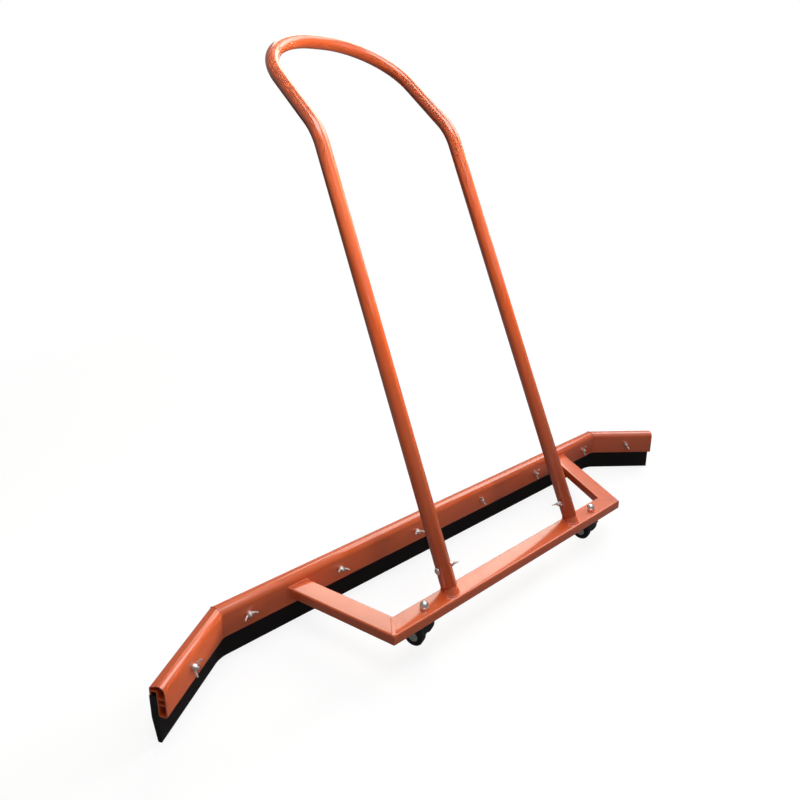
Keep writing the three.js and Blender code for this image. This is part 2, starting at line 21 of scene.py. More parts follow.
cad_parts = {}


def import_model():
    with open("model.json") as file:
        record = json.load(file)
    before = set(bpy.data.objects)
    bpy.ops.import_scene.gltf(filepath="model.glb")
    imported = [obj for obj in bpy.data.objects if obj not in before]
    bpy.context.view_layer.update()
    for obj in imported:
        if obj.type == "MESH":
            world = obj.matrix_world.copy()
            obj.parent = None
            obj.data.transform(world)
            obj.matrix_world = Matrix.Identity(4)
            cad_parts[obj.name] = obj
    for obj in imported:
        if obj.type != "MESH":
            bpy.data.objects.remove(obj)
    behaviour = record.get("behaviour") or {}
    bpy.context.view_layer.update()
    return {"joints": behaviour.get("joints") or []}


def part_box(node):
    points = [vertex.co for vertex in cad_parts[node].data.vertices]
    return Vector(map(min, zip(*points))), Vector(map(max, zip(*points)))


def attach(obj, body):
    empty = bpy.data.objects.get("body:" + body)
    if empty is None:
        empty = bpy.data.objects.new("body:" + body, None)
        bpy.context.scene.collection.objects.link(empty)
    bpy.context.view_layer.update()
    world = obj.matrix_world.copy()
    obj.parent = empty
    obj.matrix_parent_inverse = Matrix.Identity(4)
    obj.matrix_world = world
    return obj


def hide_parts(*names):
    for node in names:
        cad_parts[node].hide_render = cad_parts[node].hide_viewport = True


logging.basicConfig(level=logging.INFO, format="%(message)s")
log = logging.getLogger("squeegee")

MM = 0.001
FULL_TURN = 2 * math.pi
SEED = 7
MERGE_DISTANCE = 0.000002
SIDES = (("left", -1), ("right", 1))
TUBE_SHARP = 32.0

Pair = tuple[float, float]
Colour = tuple[float, float, float, float]


def srgb(red: int, green: int, blue: int) -> Colour:
    """A display colour as the linear colour that shaders read."""
    parts = [value / 255 for value in (red, green, blue)]
    linear = [p / 12.92 if p <= 0.04045 else ((p + 0.055) / 1.055) ** 2.4 for p in parts]
    return (linear[0], linear[1], linear[2], 1.0)


class Socket:
    """One output of a node, whose arithmetic adds Math nodes."""

    def __init__(self, graph: Graph, socket: bpy.types.NodeSocket) -> None:
        """Wraps one socket of a graph."""
        self.graph = graph
        self.socket = socket

    def _math(self, operation: str, *values: Socket | float) -> Socket:
        """A Math node on some values."""
        return self.graph.add("ShaderNodeMath", {"operation": operation},
                              dict(enumerate(values))).out()

    def __add__(self, other: Socket | float) -> Socket:
        """The sum."""
        return self._math("ADD", self, other)

    __radd__ = __add__

    def __sub__(self, other: Socket | float) -> Socket:
        """The difference."""
        return self._math("SUBTRACT", self, other)

    def __rsub__(self, other: float) -> Socket:
        """The difference from a number."""
        return self._math("SUBTRACT", other, self)

    def __mul__(self, other: Socket | float) -> Socket:
        """The product."""
        return self._math("MULTIPLY", self, other)

    __rmul__ = __mul__

    def __truediv__(self, other: Socket | float) -> Socket:
        """The quotient."""
        return self._math("DIVIDE", self, other)

    def apply(self, operation: str) -> Socket:
        """A Math node on this value alone."""
        return self._math(operation, self)

    def zigzag(self) -> Socket:
        """One half at whole numbers, falling evenly to zero halfway between them."""
        return (self.apply("FRACT") - 0.5).apply("ABSOLUTE")

    def between(self, low: float, high: float) -> Socket:
        """Zero at one value rising smoothly to one at another."""
        node = self.graph.add("ShaderNodeMapRange", {"interpolation_type": "SMOOTHSTEP"},
                              {0: self, 1: low, 2: high, 3: 0.0, 4: 1.0})
        return node.out()


class Made:
    """A node that was added to a graph."""

    def __init__(self, graph: Graph, node: bpy.types.Node) -> None:
        """Wraps a node of a graph."""
        self.graph = graph
        self.node = node

    def out(self, key: int | str = 0) -> Socket:
        """One of the node's outputs.

        Args:
            key: its name, or its place among the outputs in use.

        Returns:
            The output as a socket.
        """
        outputs = self.node.outputs
        if isinstance(key, str):
            return Socket(self.graph, outputs[key])
        return Socket(self.graph, [s for s in outputs if s.enabled][key])


class Graph:
    """A node tree that is filled by calls."""

    def __init__(self, tree: bpy.types.NodeTree) -> None:
        """Starts on a tree."""
        self.tree = tree

    def add(self, kind: str, settings: dict[str, Any] | None = None,
            values: dict[int | str, Any] | None = None) -> Made:
        """Adds a node.

        Args:
            kind: the node's type.
            settings: its properties, set first.
            values: a number, colour or link for each socket, by name or place among the inputs
                in use.

        Returns:
            The node.
        """
        node = self.tree.nodes.new(kind)
        for name, value in (settings or {}).items():
            setattr(node, name, value)
        for key, value in (values or {}).items():
            used = [s for s in node.inputs if s.enabled]
            socket = node.inputs[key] if isinstance(key, str) else used[key]
            if isinstance(value, Socket):
                self.tree.links.new(value.socket, socket)
            else:
                socket.default_value = value
        return Made(self, node)

    def white(self, kind: str, strength: float) -> Socket:
        """A white emission or background of some strength."""
        return self.add(kind, None, {"Color": (1, 1, 1, 1), "Strength": strength}).out()

    def blend(self, share: Socket, first: Socket, second: Socket) -> Socket:
        """One shader turning into another by a share."""
        return self.add("ShaderNodeMixShader", None, {0: share, 1: first, 2: second}).out()

class Surface(Graph):
    """A material's graph with the patterns that the finishes share."""

    def __init__(self, name: str) -> None:
        """Starts an empty material."""
        self.material = bpy.data.materials.new(name)
        self.material.use_nodes = True
        self.material.node_tree.nodes.clear()
        super().__init__(self.material.node_tree)
        self.place = self.add("ShaderNodeTexCoord").out("Object")

    def noise(self, scale: float, detail: float = 2.0, roughness: float = 0.5,
              stretch: tuple[float, float, float] = (1.0, 1.0, 1.0)) -> Socket:
        """A soft noise around one half.

        Args:
            scale: how many lumps in a metre.
            detail: how many finer layers it has.
            roughness: how strong the finer layers are.
            stretch: how much closer the lumps lie along each axis.

        Returns:
            The noise.
        """
        place = self.add("ShaderNodeMapping", {"vector_type": "POINT"},
                         {"Vector": self.place, "Scale": stretch}).out()
        return self.add("ShaderNodeTexNoise", {"noise_dimensions": "3D"},
                        {"Vector": place, "Scale": scale, "Detail": detail,
                         "Roughness": roughness}).out(0)

    def height(self) -> Socket:
        """How high a point lies above the ground, in metres."""
        return self.add("ShaderNodeSeparateXYZ", None, {0: self.place}).out("Z")

    def mixed(self, share: Socket | float, first: Socket | Colour,
              second: Socket | Colour) -> Socket:
        """One colour turning into another by a share."""
        node = self.add("ShaderNodeMix", {"data_type": "RGBA"},
                        {0: share, 1: first, 2: second})
        return node.out()

    def bump(self, height: Socket, distance: float, strength: float = 1.0,
             under: Socket | None = None) -> Socket:
        """A bumped normal.

        Args:
            height: the pattern.
            distance: how high a step of one is, in metres.
            strength: how much of it shows.
            under: a normal that it lies on.

        Returns:
            The normal.
        """
        values: dict[int | str, Any] = {"Height": height, "Distance": distance,
                                        "Strength": strength}
        if under is not None:
            values["Normal"] = under
        return self.add("ShaderNodeBump", None, values).out()

    def finish(self, values: dict[int | str, Any]) -> bpy.types.Material:
        """Ends the material in one Principled shader.

        Args:
            values: the shader's sockets by name.

        Returns:
            The material.
        """
        shader = self.add("ShaderNodeBsdfPrincipled", None, values).out()
        self.add("ShaderNodeOutputMaterial", None, {"Surface": shader})
        return self.material


@dataclass(frozen=True)
class PowderCoat:
    """Glossy orange powder coat with a faint orange peel, dust low down and scuffed spots."""

    name: str = "orange_powder_coat"
    colour: Colour = srgb(234, 101, 44)
    deep: Colour = srgb(219, 86, 34)
    scuff: Colour = srgb(152, 68, 40)
    roughness: float = 0.34
    coat: float = 0.95
    coat_roughness: float = 0.1
    coat_ior: float = 1.85
    peel: float = 0.000006

    def make(self) -> bpy.types.Material:
        """Builds the material."""
        s = Surface(self.name)
        cloud = s.noise(3.2, 3.0, 0.55)
        speck = s.noise(240.0, 2.0, 0.6).between(0.62, 0.74)
        grime = s.noise(38.0, 4.0, 0.65).between(0.52, 0.72)
        low = 1 - s.height().between(0.02, 0.16)
        base = s.mixed(cloud.between(0.35, 0.72) * 0.55, self.colour, self.deep)
        base = s.mixed(speck * 0.18, base, self.scuff)
        base = s.mixed(grime * low * 0.22, base, self.scuff)
        peel = s.noise(620.0, 1.0, 0.4)
        wave = s.noise(95.0, 1.0, 0.4)
        rough = self.roughness + 0.12 * grime + 0.1 * speck
        return s.finish({
            "Base Color": base, "Roughness": rough, "Specular IOR Level": 0.35,
            "Coat Weight": self.coat - 0.35 * grime * low,
            "Coat Roughness": self.coat_roughness, "Coat IOR": self.coat_ior,
            "Normal": s.bump(peel, self.peel, 0.5, s.bump(wave, self.peel * 3, 0.35))})


@dataclass(frozen=True)
class StripRubber:
    """Moulded black rubber, a little dusty towards its wiping edge."""

    name: str = "black_strip_rubber"
    colour: Colour = srgb(24, 21, 22)
    dust: Colour = srgb(62, 58, 52)
    roughness: float = 0.58

    def make(self) -> bpy.types.Material:
        """Builds the material."""
        s = Surface(self.name)
        streak = s.noise(26.0, 4.0, 0.6, (1.0, 1.0, 4.0)).between(0.45, 0.75)
        edge = 1 - s.height().between(0.0, 0.03)
        fine = s.noise(900.0, 2.0, 0.6)
        base = s.mixed(streak * 0.16 + edge * 0.22 * fine, self.colour, self.dust)
        return s.finish({
            "Base Color": base, "Roughness": self.roughness + 0.14 * streak + 0.1 * edge,
            "Specular IOR Level": 0.32,
            "Normal": s.bump(fine, 0.00005, 0.5, s.bump(s.noise(60.0), 0.0002, 0.3))})


class MetalKind(Enum):
    """The plated finishes of the fasteners."""

    ZINC = "zinc"
    CHROME = "chrome"


@dataclass(frozen=True)
class PlatedSteel:
    """Plated steel, bright zinc or polished chrome."""

    kind: MetalKind
    colour: Colour
    shade: Colour
    roughness: float
    grain: float

    def make(self) -> bpy.types.Material:
        """Builds the material."""
        s = Surface(f"{self.kind.value}_plated_steel")
        bloom = s.noise(210.0, 3.0, 0.6)
        spot = s.noise(700.0, 2.0, 0.5).between(0.6, 0.75)
        base = s.mixed(bloom.between(0.4, 0.7) * 0.6 + spot * 0.3, self.colour, self.shade)
        return s.finish({
            "Base Color": base, "Metallic": 1.0,
            "Roughness": self.roughness + self.grain * bloom + self.grain * spot,
            "Normal": s.bump(s.noise(1500.0, 1.0), 0.00002, self.grain)})


@dataclass(frozen=True)
class MouldedPlastic:
    """Moulded plastic with a fine sparked texture."""

    name: str
    colour: Colour
    shade: Colour
    roughness: float
    texture: float = 0.00004

    def make(self) -> bpy.types.Material:
        """Builds the material."""
        s = Surface(self.name)
        cloud = s.noise(90.0, 3.0, 0.6)
        grit = s.noise(1400.0, 2.0, 0.7)
        base = s.mixed(cloud.between(0.42, 0.72) * 0.5, self.colour, self.shade)
        return s.finish({
            "Base Color": base, "Roughness": self.roughness + 0.16 * cloud - 0.06,
            "Specular IOR Level": 0.45, "Normal": s.bump(grit, self.texture, 0.6)})


@dataclass(frozen=True)
class Finish:
    """A material and the record's slot that it belongs to."""

    material: bpy.types.Material
    slot: str


@dataclass(frozen=True)
class Finishes:
    """Every finish of the object."""

    paint: Finish
    rubber: Finish
    zinc: Finish
    chrome: Finish
    tread: Finish
    hood: Finish
    cap: Finish

    @classmethod
    def make(cls) -> Finishes:
        """Builds them all."""
        looks = {
            "paint": (PowderCoat(), "frame_paint"),
            "rubber": (StripRubber(), "strip_rubber"),
            "zinc": (PlatedSteel(MetalKind.ZINC, srgb(248, 247, 244), srgb(218, 215, 210),
                                 0.36, 0.1), "fastener_zinc"),
            "chrome": (PlatedSteel(MetalKind.CHROME, srgb(246, 246, 246), srgb(232, 232, 234),
                                   0.26, 0.05), "dome_nut_chrome"),
            "tread": (MouldedPlastic("castor_tread", srgb(30, 24, 27), srgb(46, 38, 40), 0.42),
                      "castor_plastic"),
            "hood": (MouldedPlastic("castor_hood", srgb(22, 23, 26), srgb(40, 43, 50), 0.36),
                     "castor_plastic"),
            "cap": (MouldedPlastic("castor_hub_cap", srgb(198, 206, 198), srgb(172, 182, 172),
                                   0.38), "hub_cap_plastic"),
        }
        return cls(**{name: Finish(look.make(), slot) for name, (look, slot) in looks.items()})


def arc(cx: float, cy: float, radius: float, start: float, end: float,
        steps: int) -> list[Pair]:
    """Points on an arc.

    Args:
        cx: the centre's first coordinate.
        cy: the centre's second coordinate.
        radius: the arc's radius.
        start: its first angle, in degrees.
        end: its last angle, in degrees.
        steps: how many steps it takes.

    Returns:
        The points, both ends included.
    """
    angles = [math.radians(start + (end - start) * i / steps) for i in range(steps + 1)]
    return [(cx + radius * math.cos(a), cy + radius * math.sin(a)) for a in angles]


@dataclass
class Shell:
    """A closed mesh in the making, in millimetres."""

    points: list[Vector] = field(default_factory=list)
    faces: list[tuple[int, ...]] = field(default_factory=list)

    def add(self, other: Shell) -> None:
        """Takes in another shell."""
        start = len(self.points)
        self.points += other.points
        self.faces += [tuple(i + start for i in face) for face in other.faces]

    def turned(self, matrix: Matrix) -> Shell:
        """A copy moved by a matrix."""
        return Shell([matrix @ p for p in self.points], list(self.faces))

    def mesh(self, name: str) -> bpy.types.Mesh:
        """The shell as a mesh in metres."""
        mesh = bpy.data.meshes.new(name)
        mesh.from_pydata([p * MM for p in self.points], [], self.faces)
        return mesh

    def piece(self, name: str, finish: Finish, body: str = "frame", sharp: float = 35.0,
              bevel: float = 0.0) -> bpy.types.Object:
        """Makes the shell a piece of the object, with the arguments of dressed."""
        return dressed(name, self.mesh(name), finish, body, sharp, bevel)


def linked(name: str, data: bpy.types.ID) -> bpy.types.Object:
    """A new object in the scene."""
    made = bpy.data.objects.new(name, data)
    bpy.context.scene.collection.objects.link(made)
    return made


def baked(holder: bpy.types.Object) -> bpy.types.Mesh:
    """An object's mesh as its modifiers leave it."""
    bpy.context.view_layer.update()
    graph = bpy.context.evaluated_depsgraph_get()
    return bpy.data.meshes.new_from_object(holder.evaluated_get(graph))


def dressed(name: str, mesh: bpy.types.Mesh, finish: Finish, body: str = "frame",
            sharp: float = 35.0, bevel: float = 0.0) -> bpy.types.Object:
    """Turns a mesh into a dressed piece that rides on its body.

    Args:
        name: the piece's name.
        mesh: its mesh, in metres.
        finish: its finish.
        body: the CAD body that it rides on.
        sharp: edges that turn more than this, in degrees, stay sharp.
        bevel: how wide its sharp edges are rounded, in millimetres.

    Returns:
        The piece.
    """
    mesh.name = name
    mesh.validate()
    mesh.materials.clear()
    mesh.materials.append(finish.material)
    mesh.polygons.foreach_set("material_index", [0] * len(mesh.polygons))
    mesh.polygons.foreach_set("use_smooth", [True] * len(mesh.polygons))
    piece = linked(name, mesh)
    if bevel > 0:
        rounding = piece.modifiers.new("rounding", "BEVEL")
        rounding.width = bevel * MM
        rounding.segments = 2
        rounding.limit_method = "ANGLE"
        rounding.angle_limit = math.radians(sharp)
        rounding.harden_normals = True
    else:
        mesh.set_sharp_from_angle(angle=math.radians(sharp))
    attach(piece, body)
    log.info("piece %s: %d faces on %s", name, len(mesh.polygons), body)
    return piece


def chain(points: Sequence[Vector]) -> list[tuple[int, int]]:
    """The edges that join points in a row."""
    return [(i, i + 1) for i in range(len(points) - 1)]


def skin(rings: Sequence[Sequence[Sequence[float]]]) -> Shell:
    """A skin over rings of as many points each, closed by a face at the first and the last."""
    count, last = len(rings[0]), len(rings) - 1
    shell = Shell([Vector(p) for ring in rings for p in ring])
    for i in range(last):
        here, there = i * count, (i + 1) * count
        for j in range(count):
            k = (j + 1) % count
            shell.faces.append((here + j, here + k, there + k, there + j))
    shell.faces.append(tuple(reversed(range(count))))
    shell.faces.append(tuple(last * count + j for j in range(count)))
    return shell


@dataclass(frozen=True)
class SlantedEnd:
    """Where a bar ends along X, and how far the cut leans for each millimetre of Y."""

    place: float
    lean: float = 0.0


def slanted_bar(outer: Sequence[Pair], holes: Sequence[Sequence[Pair]], start: SlantedEnd,
                end: SlantedEnd) -> Shell:
    """A hollow bar of one section along X, with slanted ends.

    Args:
        outer: the section's edge as (y, z), counter-clockwise.
        holes: the edges of its hollows.
        start: its end at low X.
        end: its end at high X.

    Returns:
        The shell.
    """
    loops = [list(outer)] + [list(hole) for hole in holes]
    shell = Shell()
    flat = [pair for loop in loops for pair in loop]
    for cut in (start, end):
        shell.points += [Vector((cut.place + cut.lean * y, y, z)) for y, z in flat]
    offset = len(flat)
    base = 0
    for number, loop in enumerate(loops):
        area = sum(a[0] * b[1] - b[0] * a[1] for a, b in zip(loop, loop[1:] + loop[:1]))
        forwards = (area > 0) == (number == 0)
        for i in range(len(loop)):
            a, b = base + i, base + (i + 1) % len(loop)
            if not forwards:
                a, b = b, a
            shell.faces.append((a, b, b + offset, a + offset))
        base += len(loop)
    for a, b, c in tessellate_polygon([[Vector((y, z, 0)) for y, z in loop] for loop in loops]):
        one, two, three = (Vector((*flat[i], 0)) for i in (a, b, c))
        if (two - one).cross(three - one).z < 0:
            b, c = c, b
        shell.faces.append((a, c, b))
        shell.faces.append((a + offset, b + offset, c + offset))
    return shell


@dataclass
class NodeShape:
    """A mesh that a Geometry Nodes tree makes from a few points."""

    name: str
    inputs: dict[str, tuple[str, Any]]
    build: Callable[[Graph, dict[str, Socket]], Socket]

    def tree(self) -> bpy.types.NodeTree:
        """Builds the tree with its named inputs."""
        tree = bpy.data.node_groups.new(self.name, "GeometryNodeTree")
        face = tree.interface
        face.new_socket("Geometry", in_out="INPUT", socket_type="NodeSocketGeometry")
        for label, (kind, _) in self.inputs.items():
            face.new_socket(label, in_out="INPUT", socket_type=f"NodeSocket{kind}")
        face.new_socket("Geometry", in_out="OUTPUT", socket_type="NodeSocketGeometry")
        graph = Graph(tree)
        entry = graph.add("NodeGroupInput")
        sockets = {s.name: Socket(graph, s) for s in entry.node.outputs if s.name}
        graph.add("NodeGroupOutput", None, {0: self.build(graph, sockets)})
        return tree

    def mesh(self, points: Sequence[Sequence[float]], edges: Sequence[tuple[int, int]],
             values: dict[str, Any],
             marks: dict[str, Sequence[Any]] | None = None) -> bpy.types.Mesh:
        """Runs the tree once on some points.

        Args:
            points: the points, in metres.
            edges: the edges between them.
            values: inputs that differ from their defaults.
            marks: a number or a vector that each point carries, by name.

        Returns:
            The plain mesh.
        """
        seed = bpy.data.meshes.new(self.name)
        seed.from_pydata([tuple(p) for p in points], list(edges), [])
        for label, numbers in (marks or {}).items():
            if isinstance(numbers[0], (int, float)):
                seed.attributes.new(label, "FLOAT", "POINT").data.foreach_set("value", numbers)
            else:
                flat = [x for vector in numbers for x in vector]
                seed.attributes.new(label, "FLOAT_VECTOR", "POINT").data.foreach_set(
                    "vector", flat)
        holder = linked(self.name, seed)
        modifier = holder.modifiers.new(self.name, "NODES")
        tree = self.tree()
        modifier.node_group = tree
        given = {label: default for label, (_, default) in self.inputs.items()} | values
        for item in tree.interface.items_tree:
            if item.in_out == "INPUT" and item.name in given:
                modifier[item.identifier] = given[item.name]
        mesh = baked(holder)
        holder.modifiers.remove(modifier)
        bpy.data.objects.remove(holder)
        bpy.data.meshes.remove(seed)
        bpy.data.node_groups.remove(tree)
        return mesh


def realized(graph: Graph, geometry: Socket, material: Socket) -> Socket:
    """Ends a tree in Realize Instances and Set Material."""
    real = graph.add("GeometryNodeRealizeInstances", None, {"Geometry": geometry}).out()
    return graph.add("GeometryNodeSetMaterial", None,
                     {"Geometry": real, "Material": material}).out()


def build_turning(graph: Graph, given: dict[str, Socket]) -> Socket:
    """Turns a profile of (radius, 0, height) points round Z, with a thread where it is marked.

    Args:
        graph: the tree.
        given: its inputs.

    Returns:
        The turned mesh.
    """
    rows = graph.add("GeometryNodeAttributeDomainSize", None,
                     {"Geometry": given["Geometry"]}).out("Point Count")
    sheet = graph.add("GeometryNodeMeshGrid", None,
                      {"Vertices X": given["Sides"] + 1.0, "Vertices Y": rows}).out()
    index = graph.add("GeometryNodeInputIndex").out()
    column = ((index + 0.5) / rows).apply("FLOOR")
    row = index - column * rows
    angle = column / given["Sides"]
    sample = {"Geometry": given["Geometry"], "Index": row}
    place = graph.add("GeometryNodeInputPosition").out()
    at = graph.add("GeometryNodeSampleIndex", {"data_type": "FLOAT_VECTOR"},
                   {**sample, "Value": place}).out()
    mark = graph.add("GeometryNodeInputNamedAttribute", {"data_type": "FLOAT"},
                     {"Name": "thread"}).out("Attribute")
    threaded = graph.add("GeometryNodeSampleIndex", {"data_type": "FLOAT"},
                         {**sample, "Value": mark}).out()
    parts = graph.add("ShaderNodeSeparateXYZ", None, {0: at})
    radius, height = parts.out("X"), parts.out("Z")
    ridge = (height / given["Pitch"] - angle).zigzag() * 2.0
    radius = radius - threaded * given["Depth"] * ridge
    turn = angle * FULL_TURN
    point = graph.add("ShaderNodeCombineXYZ", None, {
        0: radius * turn.apply("COSINE"), 1: radius * turn.apply("SINE"),
        2: height}).out()
    moved = graph.add("GeometryNodeSetPosition", None,
                      {"Geometry": sheet, "Position": point}).out()
    closed = graph.add("GeometryNodeMergeByDistance", None,
                       {"Geometry": moved, "Distance": MERGE_DISTANCE}).out()
    return realized(graph, closed, given["Material"])


def build_copies(graph: Graph, given: dict[str, Socket]) -> Socket:
    """Sets a copy of a piece on each point, turned as the point is marked.

    Args:
        graph: the tree.
        given: its inputs.

    Returns:
        The copies as one mesh.
    """
    source = graph.add("GeometryNodeObjectInfo", {"transform_space": "ORIGINAL"},
                       {"Object": given["Piece"]}).out("Geometry")
    aim = graph.add("GeometryNodeInputNamedAttribute", {"data_type": "FLOAT_VECTOR"},
                    {"Name": "aim"}).out("Attribute")
    rotation = graph.add("FunctionNodeEulerToRotation", None, {0: aim}).out()
    copies = graph.add("GeometryNodeInstanceOnPoints", None,
                       {"Points": given["Geometry"], "Instance": source,
                        "Rotation": rotation}).out()
    return realized(graph, copies, given["Material"])


def build_tube(graph: Graph, given: dict[str, Socket]) -> Socket:
    """Runs a round tube along a path of edges.

    Args:
        graph: the tree.
        given: its inputs.

    Returns:
        The tube's open outer skin.
    """
    path = graph.add("GeometryNodeMeshToCurve", None, {"Mesh": given["Geometry"]}).out()
    ring = graph.add("GeometryNodeCurvePrimitiveCircle", None,
                     {"Resolution": given["Sides"], "Radius": given["Radius"]}).out()
    tube = graph.add("GeometryNodeCurveToMesh", None,
                     {"Curve": path, "Profile Curve": ring}).out()
    return realized(graph, tube, given["Material"])


def build_bead(graph: Graph, given: dict[str, Socket]) -> Socket:
    """Runs a rippled weld bead along a path of edges.

    Args:
        graph: the tree.
        given: its inputs.

    Returns:
        The bead, closed at both ends.
    """
    path = graph.add("GeometryNodeMeshToCurve", None, {"Mesh": given["Geometry"]}).out()
    path = graph.add("GeometryNodeResampleCurve", {"mode": "LENGTH"},
                     {"Curve": path, "Length": given["Step"]}).out()
    along = graph.add("GeometryNodeSplineParameter").out("Length")
    ripple = (along / given["Pitch"]).zigzag() * given["Ripple"]
    place = graph.add("GeometryNodeInputPosition").out()
    wander = graph.add("ShaderNodeTexNoise", {"noise_dimensions": "4D"},
                       {"Vector": place, "W": given["Seed"], "Scale": 160.0,
                        "Detail": 1.0}).out(0) - 0.5
    radius = given["Radius"] * (1.0 - ripple + wander * given["Wander"])
    path = graph.add("GeometryNodeSetCurveRadius", None, {"Curve": path, "Radius": radius}).out()
    ring = graph.add("GeometryNodeCurvePrimitiveCircle", None,
                     {"Resolution": given["Sides"], "Radius": 1.0}).out()
    size = graph.add("GeometryNodeInputRadius").out()
    bead = graph.add("GeometryNodeCurveToMesh", None,
                     {"Curve": path, "Profile Curve": ring, "Scale": size,
                      "Fill Caps": True}).out()
    return realized(graph, bead, given["Material"])


TURNING = NodeShape("turned_profile", {
    "Sides": ("Int", 48), "Pitch": ("Float", 0.001), "Depth": ("Float", 0.0),
    "Material": ("Material", None)}, build_turning)
COPIES = NodeShape("copies_on_points", {
    "Piece": ("Object", None), "Material": ("Material", None)}, build_copies)
TUBE = NodeShape("tube_on_path", {
    "Sides": ("Int", 64), "Radius": ("Float", 0.016), "Material": ("Material", None)},
    build_tube)
BEAD = NodeShape("weld_bead", {
    "Sides": ("Int", 12), "Radius": ("Float", 0.002), "Step": ("Float", 0.0006),
    "Pitch": ("Float", 0.0026), "Ripple": ("Float", 0.35), "Wander": ("Float", 0.4),
    "Seed": ("Float", float(SEED)), "Material": ("Material", None)}, build_bead)


@dataclass(frozen=True)
class Spot:
    """A place and the direction that a turned piece's axis takes there."""

    place: Vector
    aim: Vector
    roll: float = 0.0

    def matrix(self) -> Matrix:
        """The matrix from a piece's own frame to the part's, in millimetres."""
        turn = Vector((0, 0, 1)).rotation_difference(self.aim).to_matrix().to_4x4()
        return Matrix.Translation(self.place) @ turn @ Matrix.Rotation(self.roll, 4, "Z")


def turned_mesh(profile: Sequence[Pair], finish: Finish, sides: int,
                thread: Pair | None = None, pitch: float = 1.0,
                depth: float = 0.0) -> bpy.types.Mesh:
    """Turns a profile round Z.

    Args:
        profile: its (radius, height) points in millimetres, from the axis or round to its start.
        finish: its finish.
        sides: how many faces round.
        thread: the heights between which it is threaded.
        pitch: the thread's pitch.
        depth: the thread's depth.

    Returns:
        The mesh, in metres.
    """
    marks = [1.0 if thread and thread[0] <= z <= thread[1] and r > 0 else 0.0
             for r, z in profile]
    points = [(r * MM, 0.0, z * MM) for r, z in profile]
    return TURNING.mesh(points, (), {
        "Sides": sides, "Pitch": pitch * MM, "Depth": depth * MM,
        "Material": finish.material}, {"thread": marks})


def copied_mesh(source: bpy.types.Mesh, spots: Sequence[Spot],
                finish: Finish) -> bpy.types.Mesh:
    """Sets copies of a mesh on spots.

    Args:
        source: the mesh, in metres, its axis along Z.
        spots: where the copies go.
        finish: their finish.

    Returns:
        One mesh of them all.
    """
    holder = linked("copy_source", source)
    matrices = [spot.matrix() for spot in spots]
    mesh = COPIES.mesh([m.translation * MM for m in matrices], (),
                       {"Piece": holder, "Material": finish.material},
                       {"aim": [tuple(m.to_euler()) for m in matrices]})
    bpy.data.objects.remove(holder)
    return mesh


